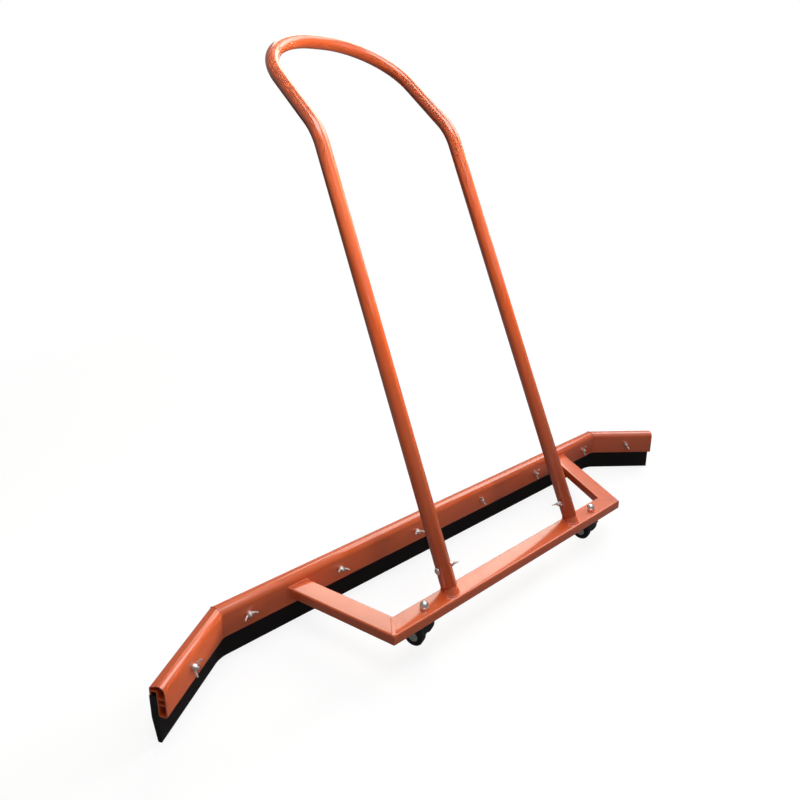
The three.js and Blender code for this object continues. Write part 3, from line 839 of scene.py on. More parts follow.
@dataclass
class Blade:
    """The hollow rail in three lengths, and the rubber strip behind it."""

    finishes: Finishes
    front: float
    main_half: float = 560.0
    wing_length: float = 170.0
    wing_angle: float = math.radians(36.3)
    foot: float = 52.8
    height: float = 60.0
    depth: float = 16.0
    wall: float = 2.0
    web: float = 1.6
    foot_radius: float = 4.0
    crown_radius: float = 13.0
    cap_depth: float = 28.5
    cap_drop: float = 3.5
    cap_radius: float = 5.0
    soffit: float = 47.5
    chamber_middle: float = 29.0
    chamber_height: float = 9.6
    seam: float = 0.15
    rubber_gap: float = 0.3
    rubber_height: float = 91.9
    rubber_thickness: float = 13.5
    rubber_edge: float = 7.0
    bevel_top: float = 48.0
    bend_top: float = 4.0
    bend_edge: float = 45.0
    bend_steps: int = 20
    corner: float = 1.1
    edge_corner: float = 0.5

    @property
    def lean(self) -> float:
        """How far the mitre at a kink leans for each millimetre of depth."""
        return math.tan(self.wing_angle / 2)

    def section(self) -> tuple[list[Pair], list[list[Pair]]]:
        """The rail's edge and its three chambers, as (y, z) from its front foot."""
        crown = self.height - self.crown_radius
        cap_x = self.cap_depth - self.cap_radius
        cap_z = self.height - self.cap_drop - self.cap_radius
        lip = self.rubber_height + self.rubber_gap - self.foot
        inner_cap = self.cap_depth - self.wall
        foot_x = self.depth - self.foot_radius
        outer = [
            *arc(foot_x, self.foot_radius, self.foot_radius, 270, 360, 6),
            (self.depth, self.soffit), (inner_cap, self.soffit), (inner_cap, lip),
            (self.cap_depth, lip),
            *arc(cap_x, cap_z, self.cap_radius, 0, 90, 8),
            *arc(self.crown_radius, crown, self.crown_radius, 90, 180, 16),
            *arc(self.foot_radius, self.foot_radius, self.foot_radius, 180, 270, 6),
        ]
        inner = self.depth - self.wall
        roof = self.chamber_middle + self.chamber_height / 2
        floor = self.chamber_middle - self.chamber_height / 2
        fillet = self.foot_radius - self.wall
        top = [
            (self.wall, roof + self.web), (inner, roof + self.web),
            (inner, self.soffit + self.wall), (inner_cap, self.soffit + self.wall),
            *arc(cap_x, cap_z, self.cap_radius - self.wall, 0, 90, 5),
            *arc(self.crown_radius, crown, self.crown_radius - self.wall, 90, 180, 12),
        ]
        middle = [(self.wall, floor), (inner, floor), (inner, roof), (self.wall, roof)]
        low = [
            *arc(foot_x, self.foot_radius, fillet, 270, 360, 4),
            (inner, floor - self.web), (self.wall, floor - self.web),
            *arc(self.foot_radius, self.foot_radius, fillet, 180, 270, 4),
        ]
        return outer, [top, middle, low]

    def wing_matrix(self, side: int) -> Matrix:
        """The matrix that sets a wing at its kink."""
        return (Matrix.Translation((side * self.main_half, self.front, 0))
                @ Matrix.Rotation(-side * self.wing_angle, 4, "Z"))

    def build_rails(self) -> None:
        """Makes the rail's three lengths."""
        outer, holes = self.section()
        outer = [(y, z + self.foot) for y, z in outer]
        holes = [[(y, z + self.foot) for y, z in hole] for hole in holes]
        main = slanted_bar(outer, holes, SlantedEnd(self.seam - self.main_half, -self.lean),
                           SlantedEnd(self.main_half - self.seam, self.lean))
        lengths = {"main": main.turned(Matrix.Translation((0, self.front, 0)))}
        for name, side in SIDES:
            ends = sorted((SlantedEnd(side * self.seam, -side * self.lean),
                           SlantedEnd(side * self.wing_length)), key=lambda end: end.place)
            wing = slanted_bar(outer, holes, *ends)
            lengths[f"wing_{name}"] = wing.turned(self.wing_matrix(side))
        for name, shell in lengths.items():
            piece = shell.piece(f"rail_{name}_profile", self.finishes.paint,
                                sharp=TUBE_SHARP, bevel=0.35)
            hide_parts(f"rail_{name}")

    def strip_line(self, depth: float, height: float, bend: float) -> list[Vector]:
        """One long line of the strip, from its left end round both bends to its right end.

        Args:
            depth: how far it lies behind the rail's face.
            height: how high it lies above the ground.
            bend: the radius of its bends.

        Returns:
            Its points.
        """
        angle = math.degrees(self.wing_angle)
        bend_x = self.main_half + (depth - bend) * self.lean
        right = arc(bend_x, depth - bend, bend, 90, 90 - angle, self.bend_steps)
        cos, sin = math.cos(self.wing_angle), math.sin(self.wing_angle)
        right.append((self.main_half + self.wing_length * cos + depth * sin,
                      depth * cos - self.wing_length * sin))
        line = [(-x, y) for x, y in reversed(right)] + right
        return [Vector((x, y + self.front, height)) for x, y in line]

    def strip_section(self) -> list[Pair]:
        """The strip's section with rounded corners, as (depth, height)."""
        near = self.depth + self.rubber_gap
        corners = [(near, 0.0), (near + self.rubber_edge, 0.0),
                   (near + self.rubber_thickness, self.bevel_top),
                   (near + self.rubber_thickness, self.rubber_height),
                   (near, self.rubber_height)]
        section: list[Pair] = []
        for i, corner in enumerate(corners):
            here = Vector(corner)
            before = (Vector(corners[i - 1]) - here).normalized()
            after = (Vector(corners[(i + 1) % len(corners)]) - here).normalized()
            radius = self.edge_corner if corner[1] == 0 else self.corner
            for t in (0.0, 0.2, 0.5, 0.8, 1.0):
                bent = here + before * radius * (1 - t) ** 2 + after * radius * t ** 2
                section.append((bent.x, bent.y))
        return section

    def build_strip(self) -> None:
        """Makes the rubber strip, bent tightly at the rail and gently at its edge."""
        lines = []
        for depth, height in self.strip_section():
            share = max(0.0, 1 - height / self.bevel_top)
            behind = depth - self.depth - self.rubber_gap
            bend = self.bend_top + (self.bend_edge - self.bend_top) * share + behind
            lines.append(self.strip_line(depth, height, bend))
        rings = [[line[i] for line in lines] for i in range(len(lines[0]))]
        piece = skin(rings).piece("rubber_blade", self.finishes.rubber, sharp=50)
        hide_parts("rubber_strip")

    def kink_path(self, side: int) -> list[Vector]:
        """The line over a kink's mitre, from the front foot over the crown to the cap's lip."""
        outer, _ = self.section()
        start = next(i for i, (y, z) in enumerate(outer) if z > self.soffit and y > self.depth)
        line = outer[start + 2:]
        return [Vector((side * (self.main_half + self.lean * y), y + self.front,
                        z + self.foot)) for y, z in reversed(line)]

    def build(self) -> None:
        """Makes rail and strip."""
        self.build_rails()
        self.build_strip()


@dataclass
class TubeFrame:
    """The bar over the castors and its two side arms, of rectangular tube."""

    finishes: Finishes
    front: float
    width: float = 40.5
    height: float = 21.0
    wall: float = 2.5
    corner: float = 3.0
    top: float = 94.1
    reach: float = 223.9
    bar_half: float = 342.7
    arm_spread: float = 83.8
    seam: float = 0.15
    rail_gap: float = 0.3
    rounding: float = 0.3
    bead_start: float = 3.0
    bead_margins: float = 5.2

    @property
    def arm_angle(self) -> float:
        """How far an arm leans out from straight back."""
        return math.atan2(self.arm_spread, self.reach)

    @property
    def corner_lean(self) -> float:
        """How far the bar's mitre leans for each millimetre of its width."""
        return math.tan(math.pi / 4 - self.arm_angle / 2)

    def section(self, side: int) -> tuple[list[Pair], list[Pair]]:
        """The tube's edge and hollow, from one edge towards a side, its top at zero."""

        def ring(inset: float, radius: float) -> list[Pair]:
            """One rounded rectangle."""
            low, wide = inset + radius, self.width - inset - radius
            deep = self.height - inset - radius
            return [(side * x, z) for x, z in (
                *arc(wide, -low, radius, 90, 0, 6), *arc(wide, -deep, radius, 0, -90, 6),
                *arc(low, -deep, radius, -90, -180, 6), *arc(low, -low, radius, 180, 90, 6))]

        return ring(0.0, self.corner), ring(self.wall, self.corner - self.wall)

    def arm_matrix(self, side: int) -> Matrix:
        """The matrix that sets an arm at the bar's corner."""
        return (Matrix.Translation((side * self.bar_half, self.front - self.reach, self.top))
                @ Matrix.Rotation(math.pi / 2 - side * self.arm_angle, 4, "Z"))

    def build(self) -> None:
        """Makes the bar and its arms."""
        outer, hollow = self.section(1)
        bar = slanted_bar(outer, [hollow],
                          SlantedEnd(self.seam - self.bar_half, self.corner_lean),
                          SlantedEnd(self.bar_half - self.seam, -self.corner_lean))
        bar = bar.turned(Matrix.Translation((0, self.front - self.reach, self.top)))
        piece = bar.piece("front_bar", self.finishes.paint, sharp=TUBE_SHARP,
                          bevel=self.rounding)
        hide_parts("wheel_bar")
        for name, side in SIDES:
            outer, hollow = self.section(side)
            length = (self.reach - self.rail_gap) / math.cos(self.arm_angle)
            arm = slanted_bar(outer, [hollow], SlantedEnd(self.seam, side * self.corner_lean),
                              SlantedEnd(length, -side * math.tan(self.arm_angle)))
            piece = arm.turned(self.arm_matrix(side)).piece(
                f"arm_{name}", self.finishes.paint, sharp=TUBE_SHARP, bevel=self.rounding)
            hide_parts(f"side_arm_{name}")

    def corner_path(self, side: int) -> list[Vector]:
        """The line along a corner's mitre on the bar's top, from its front to its inner edge."""
        steps = 14
        line = [Vector((self.bar_half - self.corner_lean * y, y, 0)) for y in (
            self.bead_start + (self.width - self.bead_margins) * i / steps
            for i in range(steps + 1))]
        return [Vector((side * p.x, self.front - self.reach + p.y, self.top)) for p in line]

    def arm_end_path(self, side: int) -> list[Vector]:
        """The line round an arm's end on the rail's face."""
        outer, _ = self.section(side)
        length = self.reach / math.cos(self.arm_angle)
        matrix = self.arm_matrix(side)
        lean = -side * math.tan(self.arm_angle)
        ring = [matrix @ Vector((length + lean * y, y, z)) for y, z in outer]
        return ring + ring[:1]


@dataclass
class Handle:
    """The bent tube handle and the two stubs that it is pushed over."""

    finishes: Finishes
    frame: TubeFrame
    spacing: float = 374.0
    lean: float = math.radians(26.7)
    foot_back: float = 4.0
    leg_length: float = 943.0
    knee_radius: float = 150.0
    bow_lean: float = math.radians(54.3)
    bow_straight: float = 190.0
    bow_radius: float = 173.3
    knee_steps: int = 16
    bow_steps: int = 40
    radius: float = 16.0
    wall: float = 1.2
    stub_step: float = 0.5
    heel: float = 1.2
    flare: float = 1.2
    flare_power: float = 2.4
    flare_top: float = 0.8
    gap: float = 0.3
    spigot: float = 62.0
    ring_sides: int = 48
    spigot_play: float = 0.5
    bore_start: float = 10.0

    @property
    def seam(self) -> float:
        """How far up the leg's axis the handle's square end stands."""
        return ((self.radius * math.sin(self.lean) + self.gap + self.heel)
                / math.cos(self.lean))

    @property
    def origin(self) -> Vector:
        """The middle between the legs' feet on the bar's top."""
        return Vector((0, self.frame.front - self.frame.reach + self.frame.width / 2
                       + self.foot_back, self.frame.top))

    @property
    def axis(self) -> Vector:
        """The legs' direction, upwards."""
        return Vector((0, math.sin(self.lean), math.cos(self.lean)))

    def foot(self, side: int) -> Vector:
        """Where a leg's axis meets the bar's top."""
        return self.origin + Vector((side * self.spacing / 2, 0, 0))

    def path(self) -> list[Vector]:
        """The tube's middle line, from the left seam round the bow to the right seam."""
        half = self.spacing / 2
        bow = Vector((0, math.sin(self.bow_lean), math.cos(self.bow_lean)))
        start = self.origin + self.axis * (self.seam + self.gap)
        knee = self.origin + self.axis * (self.seam + self.leg_length)
        apex = knee + bow * (self.bow_straight + self.bow_radius)
        left = [p + Vector((-half, 0, 0)) for p in (start, knee, apex)]
        right = [p + Vector((half, 0, 0)) for p in (apex, knee, start)]
        corners = left + right
        knees, bows = (self.knee_radius, self.knee_steps), (self.bow_radius, self.bow_steps)
        points = [corners[0]]
        for i, (radius, count) in enumerate((knees, bows, bows, knees), start=1):
            inward = (corners[i] - corners[i - 1]).normalized()
            outward = (corners[i + 1] - corners[i]).normalized()
            turn = inward.angle(outward)
            begin = corners[i] - inward * radius * math.tan(turn / 2)
            side = (outward - inward * math.cos(turn)).normalized()
            for k in range(count + 1):
                angle = turn * k / count
                points.append(begin + inward * radius * math.sin(angle)
                              + side * radius * (1 - math.cos(angle)))
        points.append(corners[-1])
        return points

    def build_tube(self) -> None:
        """Makes the handle, a hollow tube with square ends."""
        points = self.path()
        mesh = TUBE.mesh([p * MM for p in points], chain(points), {
            "Radius": self.radius * MM, "Material": self.finishes.paint.material})
        piece = dressed("handle_bow", mesh, self.finishes.paint)
        wall = piece.modifiers.new("wall", "SOLIDIFY")
        wall.thickness = self.wall * MM
        wall.offset = -1
        wall.use_even_offset = True
        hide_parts("handle_tube")

    def ring(self, radius: float, place: float) -> list[Vector]:
        """A ring round the left leg's axis, square to it."""
        across = Vector((0, math.cos(self.lean), -math.sin(self.lean)))
        return [Vector((x, 0, 0)) + across * y + self.axis * place
                for x, y in arc(0, 0, radius, 0, 360, self.ring_sides)[1:]]

    def foot_ring(self, radius: float) -> list[Vector]:
        """The same ring slid along the leg onto the bar's top."""
        slide = math.tan(self.lean)
        return [Vector((p.x, p.y + (self.gap - p.z) * slide, self.gap))
                for p in self.ring(radius, 0)]

    def build_stubs(self) -> None:
        """Makes the stubs, each flared into its weld at the foot and grooved under its seam."""
        shoulder = self.radius - self.stub_step
        seam = self.ring(shoulder, self.seam)
        rings = []
        for share in (0.0, 0.12, 0.25, 0.4, 0.6, 0.8):
            swell = self.flare * (1 - share) ** self.flare_power
            low = self.foot_ring(shoulder + swell)
            rings.append([a.lerp(b, share * self.flare_top) for a, b in zip(low, seam)])
        groove = ((0.0, 2.3), (0.4, 1.9), (1.8, 1.6), (1.8, 0.4))
        rings += [self.ring(shoulder - depth, self.seam - below) for depth, below in groove]
        inner = self.radius - self.wall - self.spigot_play
        top = self.seam + self.spigot
        rings += [self.ring(radius, place) for radius, place in (
            (inner, self.seam), (inner, top - 1), (inner - 1, top), (inner - 2, top),
            (inner - 2, self.bore_start))]
        shell = skin(rings)
        for name, side in SIDES:
            stub = shell.turned(Matrix.Translation(self.foot(side)))
            piece = stub.piece(f"handle_socket_{name}", self.finishes.paint, sharp=40)
            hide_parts(f"handle_stub_{name}")

    def foot_path(self, side: int) -> list[Vector]:
        """The line of the weld round a stub's foot."""
        ring = [p + self.foot(side) for p in self.foot_ring(self.radius + 0.9)]
        return ring + ring[:1]

    def build(self) -> None:
        """Makes handle and stubs."""
        self.build_tube()
        self.build_stubs()


@dataclass
class Welds:
    """The painted weld beads over the seams of the frame."""

    finishes: Finishes
    blade: Blade
    frame: TubeFrame
    handle: Handle

    def bead(self, name: str, path: Sequence[Vector], radius: float, ripple: float,
             seed: int, flat: float = 1.0) -> None:
        """Makes one bead.

        Args:
            name: its name.
            path: its line.
            radius: its radius, in millimetres.
            ripple: how deep its ripples are, as a share of the radius.
            seed: what its unevenness starts from.
            flat: how much of its height above the path is left.
        """
        mesh = BEAD.mesh([p * MM for p in path], chain(path), {
            "Radius": radius * MM, "Ripple": ripple, "Seed": float(seed),
            "Material": self.finishes.paint.material})
        if flat < 1.0:
            level = max(p.z for p in path) * MM
            for vertex in mesh.vertices:
                if vertex.co.z > level - radius * MM:
                    vertex.co.z = level + (vertex.co.z - level) * flat
        dressed(name, mesh, self.finishes.paint, sharp=60)

    def build(self) -> None:
        """Makes every bead."""
        kinds = (("kink", self.blade.kink_path, 1.2, 0.3),
                 ("arm", self.frame.arm_end_path, 2.2, 0.35),
                 ("foot", self.handle.foot_path, 1.5, 0.5))
        for name, side in SIDES:
            for number, (kind, path, radius, ripple) in enumerate(kinds):
                self.bead(f"weld_{kind}_{name}", path(side), radius, ripple,
                          SEED + 3 * number + side)
        self.bead("weld_corner_left", self.frame.corner_path(-1), 4.2, 0.05, SEED + 9, 0.1)
        self.bead("weld_corner_right", self.frame.corner_path(1), 2.6, 0.16, SEED + 10, 0.45)


@dataclass
class Fasteners:
    """Bolts, washers and wing nuts of the blade and the handle."""

    finishes: Finishes
    spots: dict[str, Spot]
    bolt_radius: float = 3.0
    head_radius: float = 7.0
    head_height: float = 4.0
    nut_height: float = 8.0
    tip: float = 3.0
    blade_grip: float = 32.3
    handle_grip: float = 32.6
    washer_radius: float = 10.0
    washer_hole: float = 3.3
    washer_thickness: float = 1.6
    seat: float = 0.3

    def bolt_mesh(self, grip: float) -> bpy.types.Mesh:
        """A round-headed bolt along Z with a threaded tip, its nut's seat at zero."""
        back, chamfer, pitch, depth, steps = 3.9, 0.8, 1.0, 0.45, 70
        radius, rim = self.bolt_radius, self.head_radius
        end = grip + self.nut_height + self.tip
        profile = [(0.0, -self.head_height)]
        profile += [(rim * math.cos(a), -self.head_height * math.sin(a))
                    for a in (math.radians(90 - 9 * i) for i in range(1, 10))]
        profile += [(rim, -0.6), (rim - 0.3, 0.0), (radius, 0.0), (radius, grip - back - 0.1)]
        profile += [(radius, grip - back + (end - chamfer - grip + back) * i / steps)
                    for i in range(steps + 1)]
        profile += [(radius - chamfer, end), (0.0, end)]
        return turned_mesh([(r, z - grip) for r, z in profile], self.finishes.zinc, 24,
                           (-back - 0.05, end), pitch, depth)

    def washer_mesh(self) -> bpy.types.Mesh:
        """A flat washer with softened edges, its nut's seat at zero."""
        low = -self.blade_grip + self.seat
        high = low + self.washer_thickness
        hole, rim = self.washer_hole, self.washer_radius
        profile = [(hole, low + 0.2), (hole + 0.2, low), (rim - 0.3, low), (rim, low + 0.3),
                   (rim, high - 0.2), (rim - 0.2, high), (hole + 0.2, high),
                   (hole, high - 0.2), (hole, low + 0.2)]
        return turned_mesh(profile, self.finishes.zinc, 40)

    def nut_mesh(self) -> bpy.types.Mesh:
        """A cast wing nut with a bore, its seat at zero and its wings along X."""
        sides = 8
        rings = [(6.1, 0.0), (6.0, 1.2), (5.3, 5.4), (4.7, 7.7), (4.2, 8.1), (3.25, 8.0),
                 (3.2, 0.1), (5.6, -0.05)]
        shell = Shell()
        for radius, height in rings:
            shell.points += [Vector((x, y, height)) for x, y in
                             arc(0, 0, radius, 22.5, 22.5 + 315, sides - 1)]
        wing_rings, wing_sides = (1, 2), {1: 7, -1: 3}
        for i in range(len(rings)):
            here, there = i * sides, (i + 1) % len(rings) * sides
            for j in range(sides):
                k = (j + 1) % sides
                if i not in wing_rings or j not in wing_sides.values():
                    shell.faces.append((here + j, here + k, there + k, there + j))
        stages = [(7.6, 2.1, 3.2, 6.2, 9.0), (10.2, 1.5, 5.2, 8.4, 11.6),
                  (12.6, 1.25, 7.6, 11.2, 14.0), (14.0, 1.15, 10.2, 12.2, 13.6)]
        for side, root in wing_sides.items():
            low, middle, high = ((row * sides + root, row * sides + (root + 1) % sides)
                                 for row in (1, 2, 3))
            loops = [[low[0], low[1], middle[1], high[1], high[0], middle[0]]]
            for reach, half, *heights in stages:
                base = len(shell.points)
                for height in heights:
                    shell.points += [Vector((side * reach, -side * half, height)),
                                     Vector((side * reach, side * half, height))]
                loops.append([base, base + 1, base + 3, base + 5, base + 4, base + 2])
            for one, two in zip(loops, loops[1:]):
                for a in range(6):
                    b = (a + 1) % 6
                    shell.faces.append((one[a], one[b], two[b], two[a]))
            last = loops[-1]
            shell.faces.append((last[0], last[1], last[2], last[5]))
            shell.faces.append((last[5], last[2], last[3], last[4]))
        holder = linked("wing_nut", shell.mesh("wing_nut"))
        rounding = holder.modifiers.new("rounding", "SUBSURF")
        rounding.levels = rounding.render_levels = 2
        smooth = baked(holder)
        bpy.data.objects.remove(holder)
        return smooth

    def bunch(self, name: str, mesh: bpy.types.Mesh, keys: Sequence[str]) -> bpy.types.Object:
        """Makes one piece of the copies of a mesh on some spots."""
        copies = copied_mesh(mesh, [self.spots[key] for key in keys], self.finishes.zinc)
        return dressed(name, copies, self.finishes.zinc, sharp=50)

    def build(self) -> None:
        """Makes them all."""
        blade = [key for key in self.spots if key.startswith("blade")]
        legs = [key for key in self.spots if key.startswith("handle")]
        numbers = [key.rsplit("_", 1)[1] for key in blade]
        piece = self.bunch("blade_bolts", self.bolt_mesh(self.blade_grip), blade)
        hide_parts(*(f"blade_bolt_{n}" for n in numbers))
        piece = self.bunch("blade_washers", self.washer_mesh(), blade)
        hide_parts(*(f"blade_washer_{n}" for n in numbers))
        piece = self.bunch("handle_bolts", self.bolt_mesh(self.handle_grip), legs)
        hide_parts("handle_bolt_left", "handle_bolt_right")
        nut = self.nut_mesh()
        for key, spot in self.spots.items():
            mesh = copied_mesh(nut, [spot], self.finishes.zinc)
            piece = dressed(f"{key}_wings", mesh, self.finishes.zinc, key, 60)
            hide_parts(key.replace("nut", "wing_nut"))


@dataclass
class Castor:
    """One twin-wheel castor, with its stem and dome nut."""

    finishes: Finishes
    name: str
    swivel: Vector
    wheels: dict[str, Spot]
    bar_height: float = 21.0
    wheel_radius: float = 20.0
    wheel_width: float = 17.5
    spacing: float = 36.0
    dish: float = 1.5
    hub: float = 5.0
    cap_radius: float = 15.0
    cap_face: float = 9.8
    cap_thickness: float = 1.8
    axle: float = 3.0
    web: float = 13.0
    gap: float = 0.3
    hood_start: float = 18.0
    hood_end: float = 134.0
    hood_steps: int = 24
    nut_turn: float = math.radians(17)
    stem_radius: float = 5.0
    stem_rise: float = 10.5
    collar_radius: float = 9.0
    collar_height: float = 2.5

    def turned_piece(self, name: str, profile: Sequence[Pair], finish: Finish, body: str,
                     matrix: Matrix, sides: int, sharp: float = 35.0) -> bpy.types.Object:
        """Turns a profile round Z and sets it in its place as a piece.

        Args:
            name: the piece's name.
            profile: its (radius, height) points.
            finish: its finish.
            body: the CAD body that it rides on.
            matrix: its place, in millimetres.
            sides: how many faces round.
            sharp: edges that turn more than this, in degrees, stay sharp.

        Returns:
            The piece.
        """
        mesh = turned_mesh(profile, finish, sides)
        moved = matrix.copy()
        moved.translation = matrix.translation * MM
        mesh.transform(moved)
        return dressed(name, mesh, finish, body, sharp)

    def stem_piece(self) -> None:
        """Makes the stem with its collar."""
        radius, wide, cut, bottom = self.stem_radius, self.collar_radius, 0.4, -27.0
        top = self.bar_height + self.stem_rise
        low, high = -self.gap - self.collar_height, -self.gap
        profile = [(0.0, bottom), (4.2, bottom), (radius, -26.2), (radius, -14.0),
                   (4.5, -13.6), (4.5, -12.4), (radius, -12.0), (radius, low), (8.6, low),
                   (wide, low + cut), (wide, high - cut), (8.6, high), (radius, high),
                   (radius, top - 0.8), (4.2, top), (0.0, top)]
        piece = self.turned_piece(f"castor_pin_{self.name}", profile, self.finishes.zinc,
                                  "frame", Matrix.Translation(self.swivel), 40)
        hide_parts(f"castor_stem_{self.name}")

    def dome_nut_piece(self) -> None:
        """Makes the dome nut, a chamfered hexagon under a dome."""
        apothem, rise, dome, top, sides = 8.4, 6.3, 8.0, 14.4, 96
        rows = [(8.0, 0.0), (9.2, 0.3), (9.7, 0.7), (9.7, rise - 1.4), (8.9, rise - 0.5),
                (dome + 0.15, rise), (dome, rise + 0.15),
                *arc(0, top - dome, dome, 0, 90, 20)[:-1]]
        rings = []
        for radius, height in rows:
            ring = []
            for i in range(sides):
                angle = FULL_TURN * i / sides
                turn = (angle + math.pi / 6) % (math.pi / 3) - math.pi / 6
                reach = min(radius, apothem / math.cos(turn))
                ring.append((reach * math.cos(angle), reach * math.sin(angle), height))
            rings.append(ring)
        place = self.swivel + Vector((0, 0, self.bar_height + self.gap))
        matrix = Matrix.Translation(place) @ Matrix.Rotation(self.nut_turn, 4, "Z")
        piece = skin(rings).turned(matrix).piece(f"dome_cap_{self.name}", self.finishes.chrome,
                                                 sharp=18)
        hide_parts(f"castor_dome_nut_{self.name}")

    def body_matrix(self) -> Matrix:
        """The matrix from the axle's middle, with X along the axle, to the part."""
        spot = self.wheels["a"]
        turn = math.atan2(spot.aim.y, spot.aim.x)
        return Matrix.Translation(spot.place) @ Matrix.Rotation(turn, 4, "Z")

    def body_piece(self) -> None:
        """Makes the hood, the web and the stem's sleeve."""
        inner, outer = self.wheel_radius + 1.2, self.wheel_radius + 3.0
        half, cut = (self.spacing + self.wheel_width) / 2, 0.35
        edge = [(-half + cut, inner), (-half, inner + cut), (-half, outer - 0.9),
                (-half + 0.25, outer - 0.25), (-half + 0.9, outer), (half - 0.9, outer),
                (half - 0.25, outer - 0.25), (half, outer - 0.9), (half, inner + cut),
                (half - cut, inner)]
        start, end, steps = self.hood_start, self.hood_end, self.hood_steps
        rings = []
        for i in range(steps + 1):
            angle = math.radians(start + (end - start) * i / steps)
            rings.append([(x, -r * math.cos(angle), r * math.sin(angle)) for x, r in edge])
        shell = skin(rings)
        edge = (arc(0, 0, (inner + outer) / 2, start, end, steps)
                + arc(0, 0, self.wheel_radius - 3, end, start + 360, 30))
        side = self.web / 2
        shell.add(skin([[(x, -a * (1 - shrink / 20), b * (1 - shrink / 20)) for a, b in edge]
                        for x, shrink in ((-side, 0.5), (-side + 0.5, 0.0),
                                          (side - 0.5, 0.0), (side, 0.5))]))
        sleeve, drop, back = (self.spacing - self.wheel_width) / 2 - 1.4, 26.5, 10
        rows = [(sleeve - 1, -29.7), (sleeve, -28.7), (sleeve, -4.4), (sleeve - 0.8, -3.4),
                (5.3, -3.4), (5.3, -28.0)]
        shell.add(skin([[(x, y - back, z + drop) for x, y in arc(0, 0, r, 0, 345, 23)]
                        for r, z in rows]))
        piece = shell.turned(self.body_matrix()).piece(
            f"castor_hood_{self.name}", self.finishes.hood, f"castor_{self.name}")
        fix_normals(piece.data)
        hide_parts(f"castor_body_{self.name}")

    def axle_piece(self) -> None:
        """Makes the axle, a plain pin with softened ends."""
        half = (self.spacing + self.wheel_width) / 2 - self.dish - self.gap
        radius, cut = self.axle, 0.4
        profile = [(0.0, -half), (radius - cut, -half), (radius, cut - half),
                   (radius, half - cut), (radius - cut, half), (0.0, half)]
        matrix = self.body_matrix() @ Matrix.Rotation(math.pi / 2, 4, "Y")
        piece = self.turned_piece(f"castor_pivot_{self.name}", profile, self.finishes.zinc,
                                  f"castor_{self.name}", matrix, 24)
        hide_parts(f"castor_axle_{self.name}")

    def wheel_pieces(self) -> None:
        """Makes the two wheels with their cheeks and hub caps."""
        half = self.wheel_width / 2
        bore = self.axle + 0.05
        boss = (self.spacing - self.web) / 2 - self.gap
        recess = self.cap_radius + self.gap
        shoulder = [(self.wheel_radius - inset, half - along) for inset, along in
                    ((3.2, 0.0), (1.6, 0.3), (0.7, 1.1), (0.15, 2.6), (0.0, 4.4))]
        wheel = [(bore, -boss), (self.hub, -boss), (self.hub, self.dish - half),
                 (recess - 2.0, self.dish - half), (recess, 0.5 - half), (recess, -half),
                 *((r, -z) for r, z in shoulder), *reversed(shoulder),
                 (recess + 0.3, half), (recess, half - 0.3), (recess, half - self.dish),
                 (bore, half - self.dish), (bore, -boss)]
        rim, face_rim, high = self.cap_radius, self.cap_face, self.cap_thickness
        cap = [(0.0, 0.0), (face_rim - 0.2, 0.0), (face_rim, 0.25), (face_rim, 1.0),
               (face_rim - 0.3, 1.3), (7.6, 1.5), (7.3, 1.2), (6.6, 1.2), (6.3, 1.55),
               (3.2, high), (2.9, 1.4), (1.2, 1.3), (0.0, 1.3)]
        cheek = [(face_rim + 0.1, 0.0), (rim - 0.2, 0.0), (rim, 0.25), (rim, 0.7),
                 (rim - 0.5, 1.15), (face_rim + 0.6, 1.45), (face_rim + 0.1, 1.1),
                 (face_rim + 0.1, 0.0)]
        sides, sharp = 64, 30.0
        for face, side in (("a", -1), ("b", 1)):
            spot, end = self.wheels[face], f"{self.name}_{face}"
            matrix = Spot(spot.place + spot.aim * side * self.spacing / 2,
                          spot.aim * side).matrix()
            out = matrix @ Matrix.Translation(Vector((0, 0, half - self.dish + self.gap)))
            piece = self.turned_piece(f"castor_tyre_{end}", wheel, self.finishes.tread,
                                      f"wheel_{end}", matrix, sides, sharp)
            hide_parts(f"castor_wheel_{end}")
            self.turned_piece(f"castor_cheek_{end}", cheek, self.finishes.hood,
                              f"wheel_{end}", out, sides, sharp)
            piece = self.turned_piece(f"castor_disc_{end}", cap, self.finishes.cap,
                                      f"wheel_{end}", out, sides, sharp)
            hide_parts(f"wheel_hub_cap_{end}")

    def build(self) -> None:
        """Makes every piece of the castor."""
        self.stem_piece()
        self.dome_nut_piece()
        self.body_piece()
        self.axle_piece()
        self.wheel_pieces()


def fix_normals(mesh: bpy.types.Mesh) -> None:
    """Turns every face of closed shells outwards."""
    work = bmesh.new()
    work.from_mesh(mesh)
    bmesh.ops.recalc_face_normals(work, faces=work.faces)
    work.to_mesh(mesh)
    work.free()


WARM = (1.0, 0.95, 0.82)


@dataclass(frozen=True)
class Lamp:
    """A square soft box that looks at the object, with a grid before it or without."""

    name: str
    heading: float
    elevation: float
    distance: float
    size: float
    radiance: float
    aim: float = 0.4
    spread: float = 180.0
    mirrored: bool = True
    colour: tuple[float, float, float] = (1.0, 1.0, 1.0)

    def build(self) -> None:
        """Hangs the lamp and turns it to the height that it is aimed at."""
        lamp = bpy.data.lights.new(self.name, "AREA")
        lamp.shape = "SQUARE"
        lamp.size = self.size
        lamp.energy = self.radiance * math.pi * self.size ** 2
        lamp.spread = math.radians(self.spread)
        lamp.color = self.colour
        piece = linked(self.name, lamp)
        turn, rise = math.radians(self.heading), math.radians(self.elevation)
        way = Vector((math.cos(rise) * math.cos(turn), math.cos(rise) * math.sin(turn),
                      math.sin(rise)))
        piece.location = Vector((0.0, 0.0, self.aim)) + way * self.distance
        piece.rotation_euler = (-way).to_track_quat("-Z", "Y").to_euler()
        piece.visible_camera = False
        piece.visible_glossy = self.mirrored


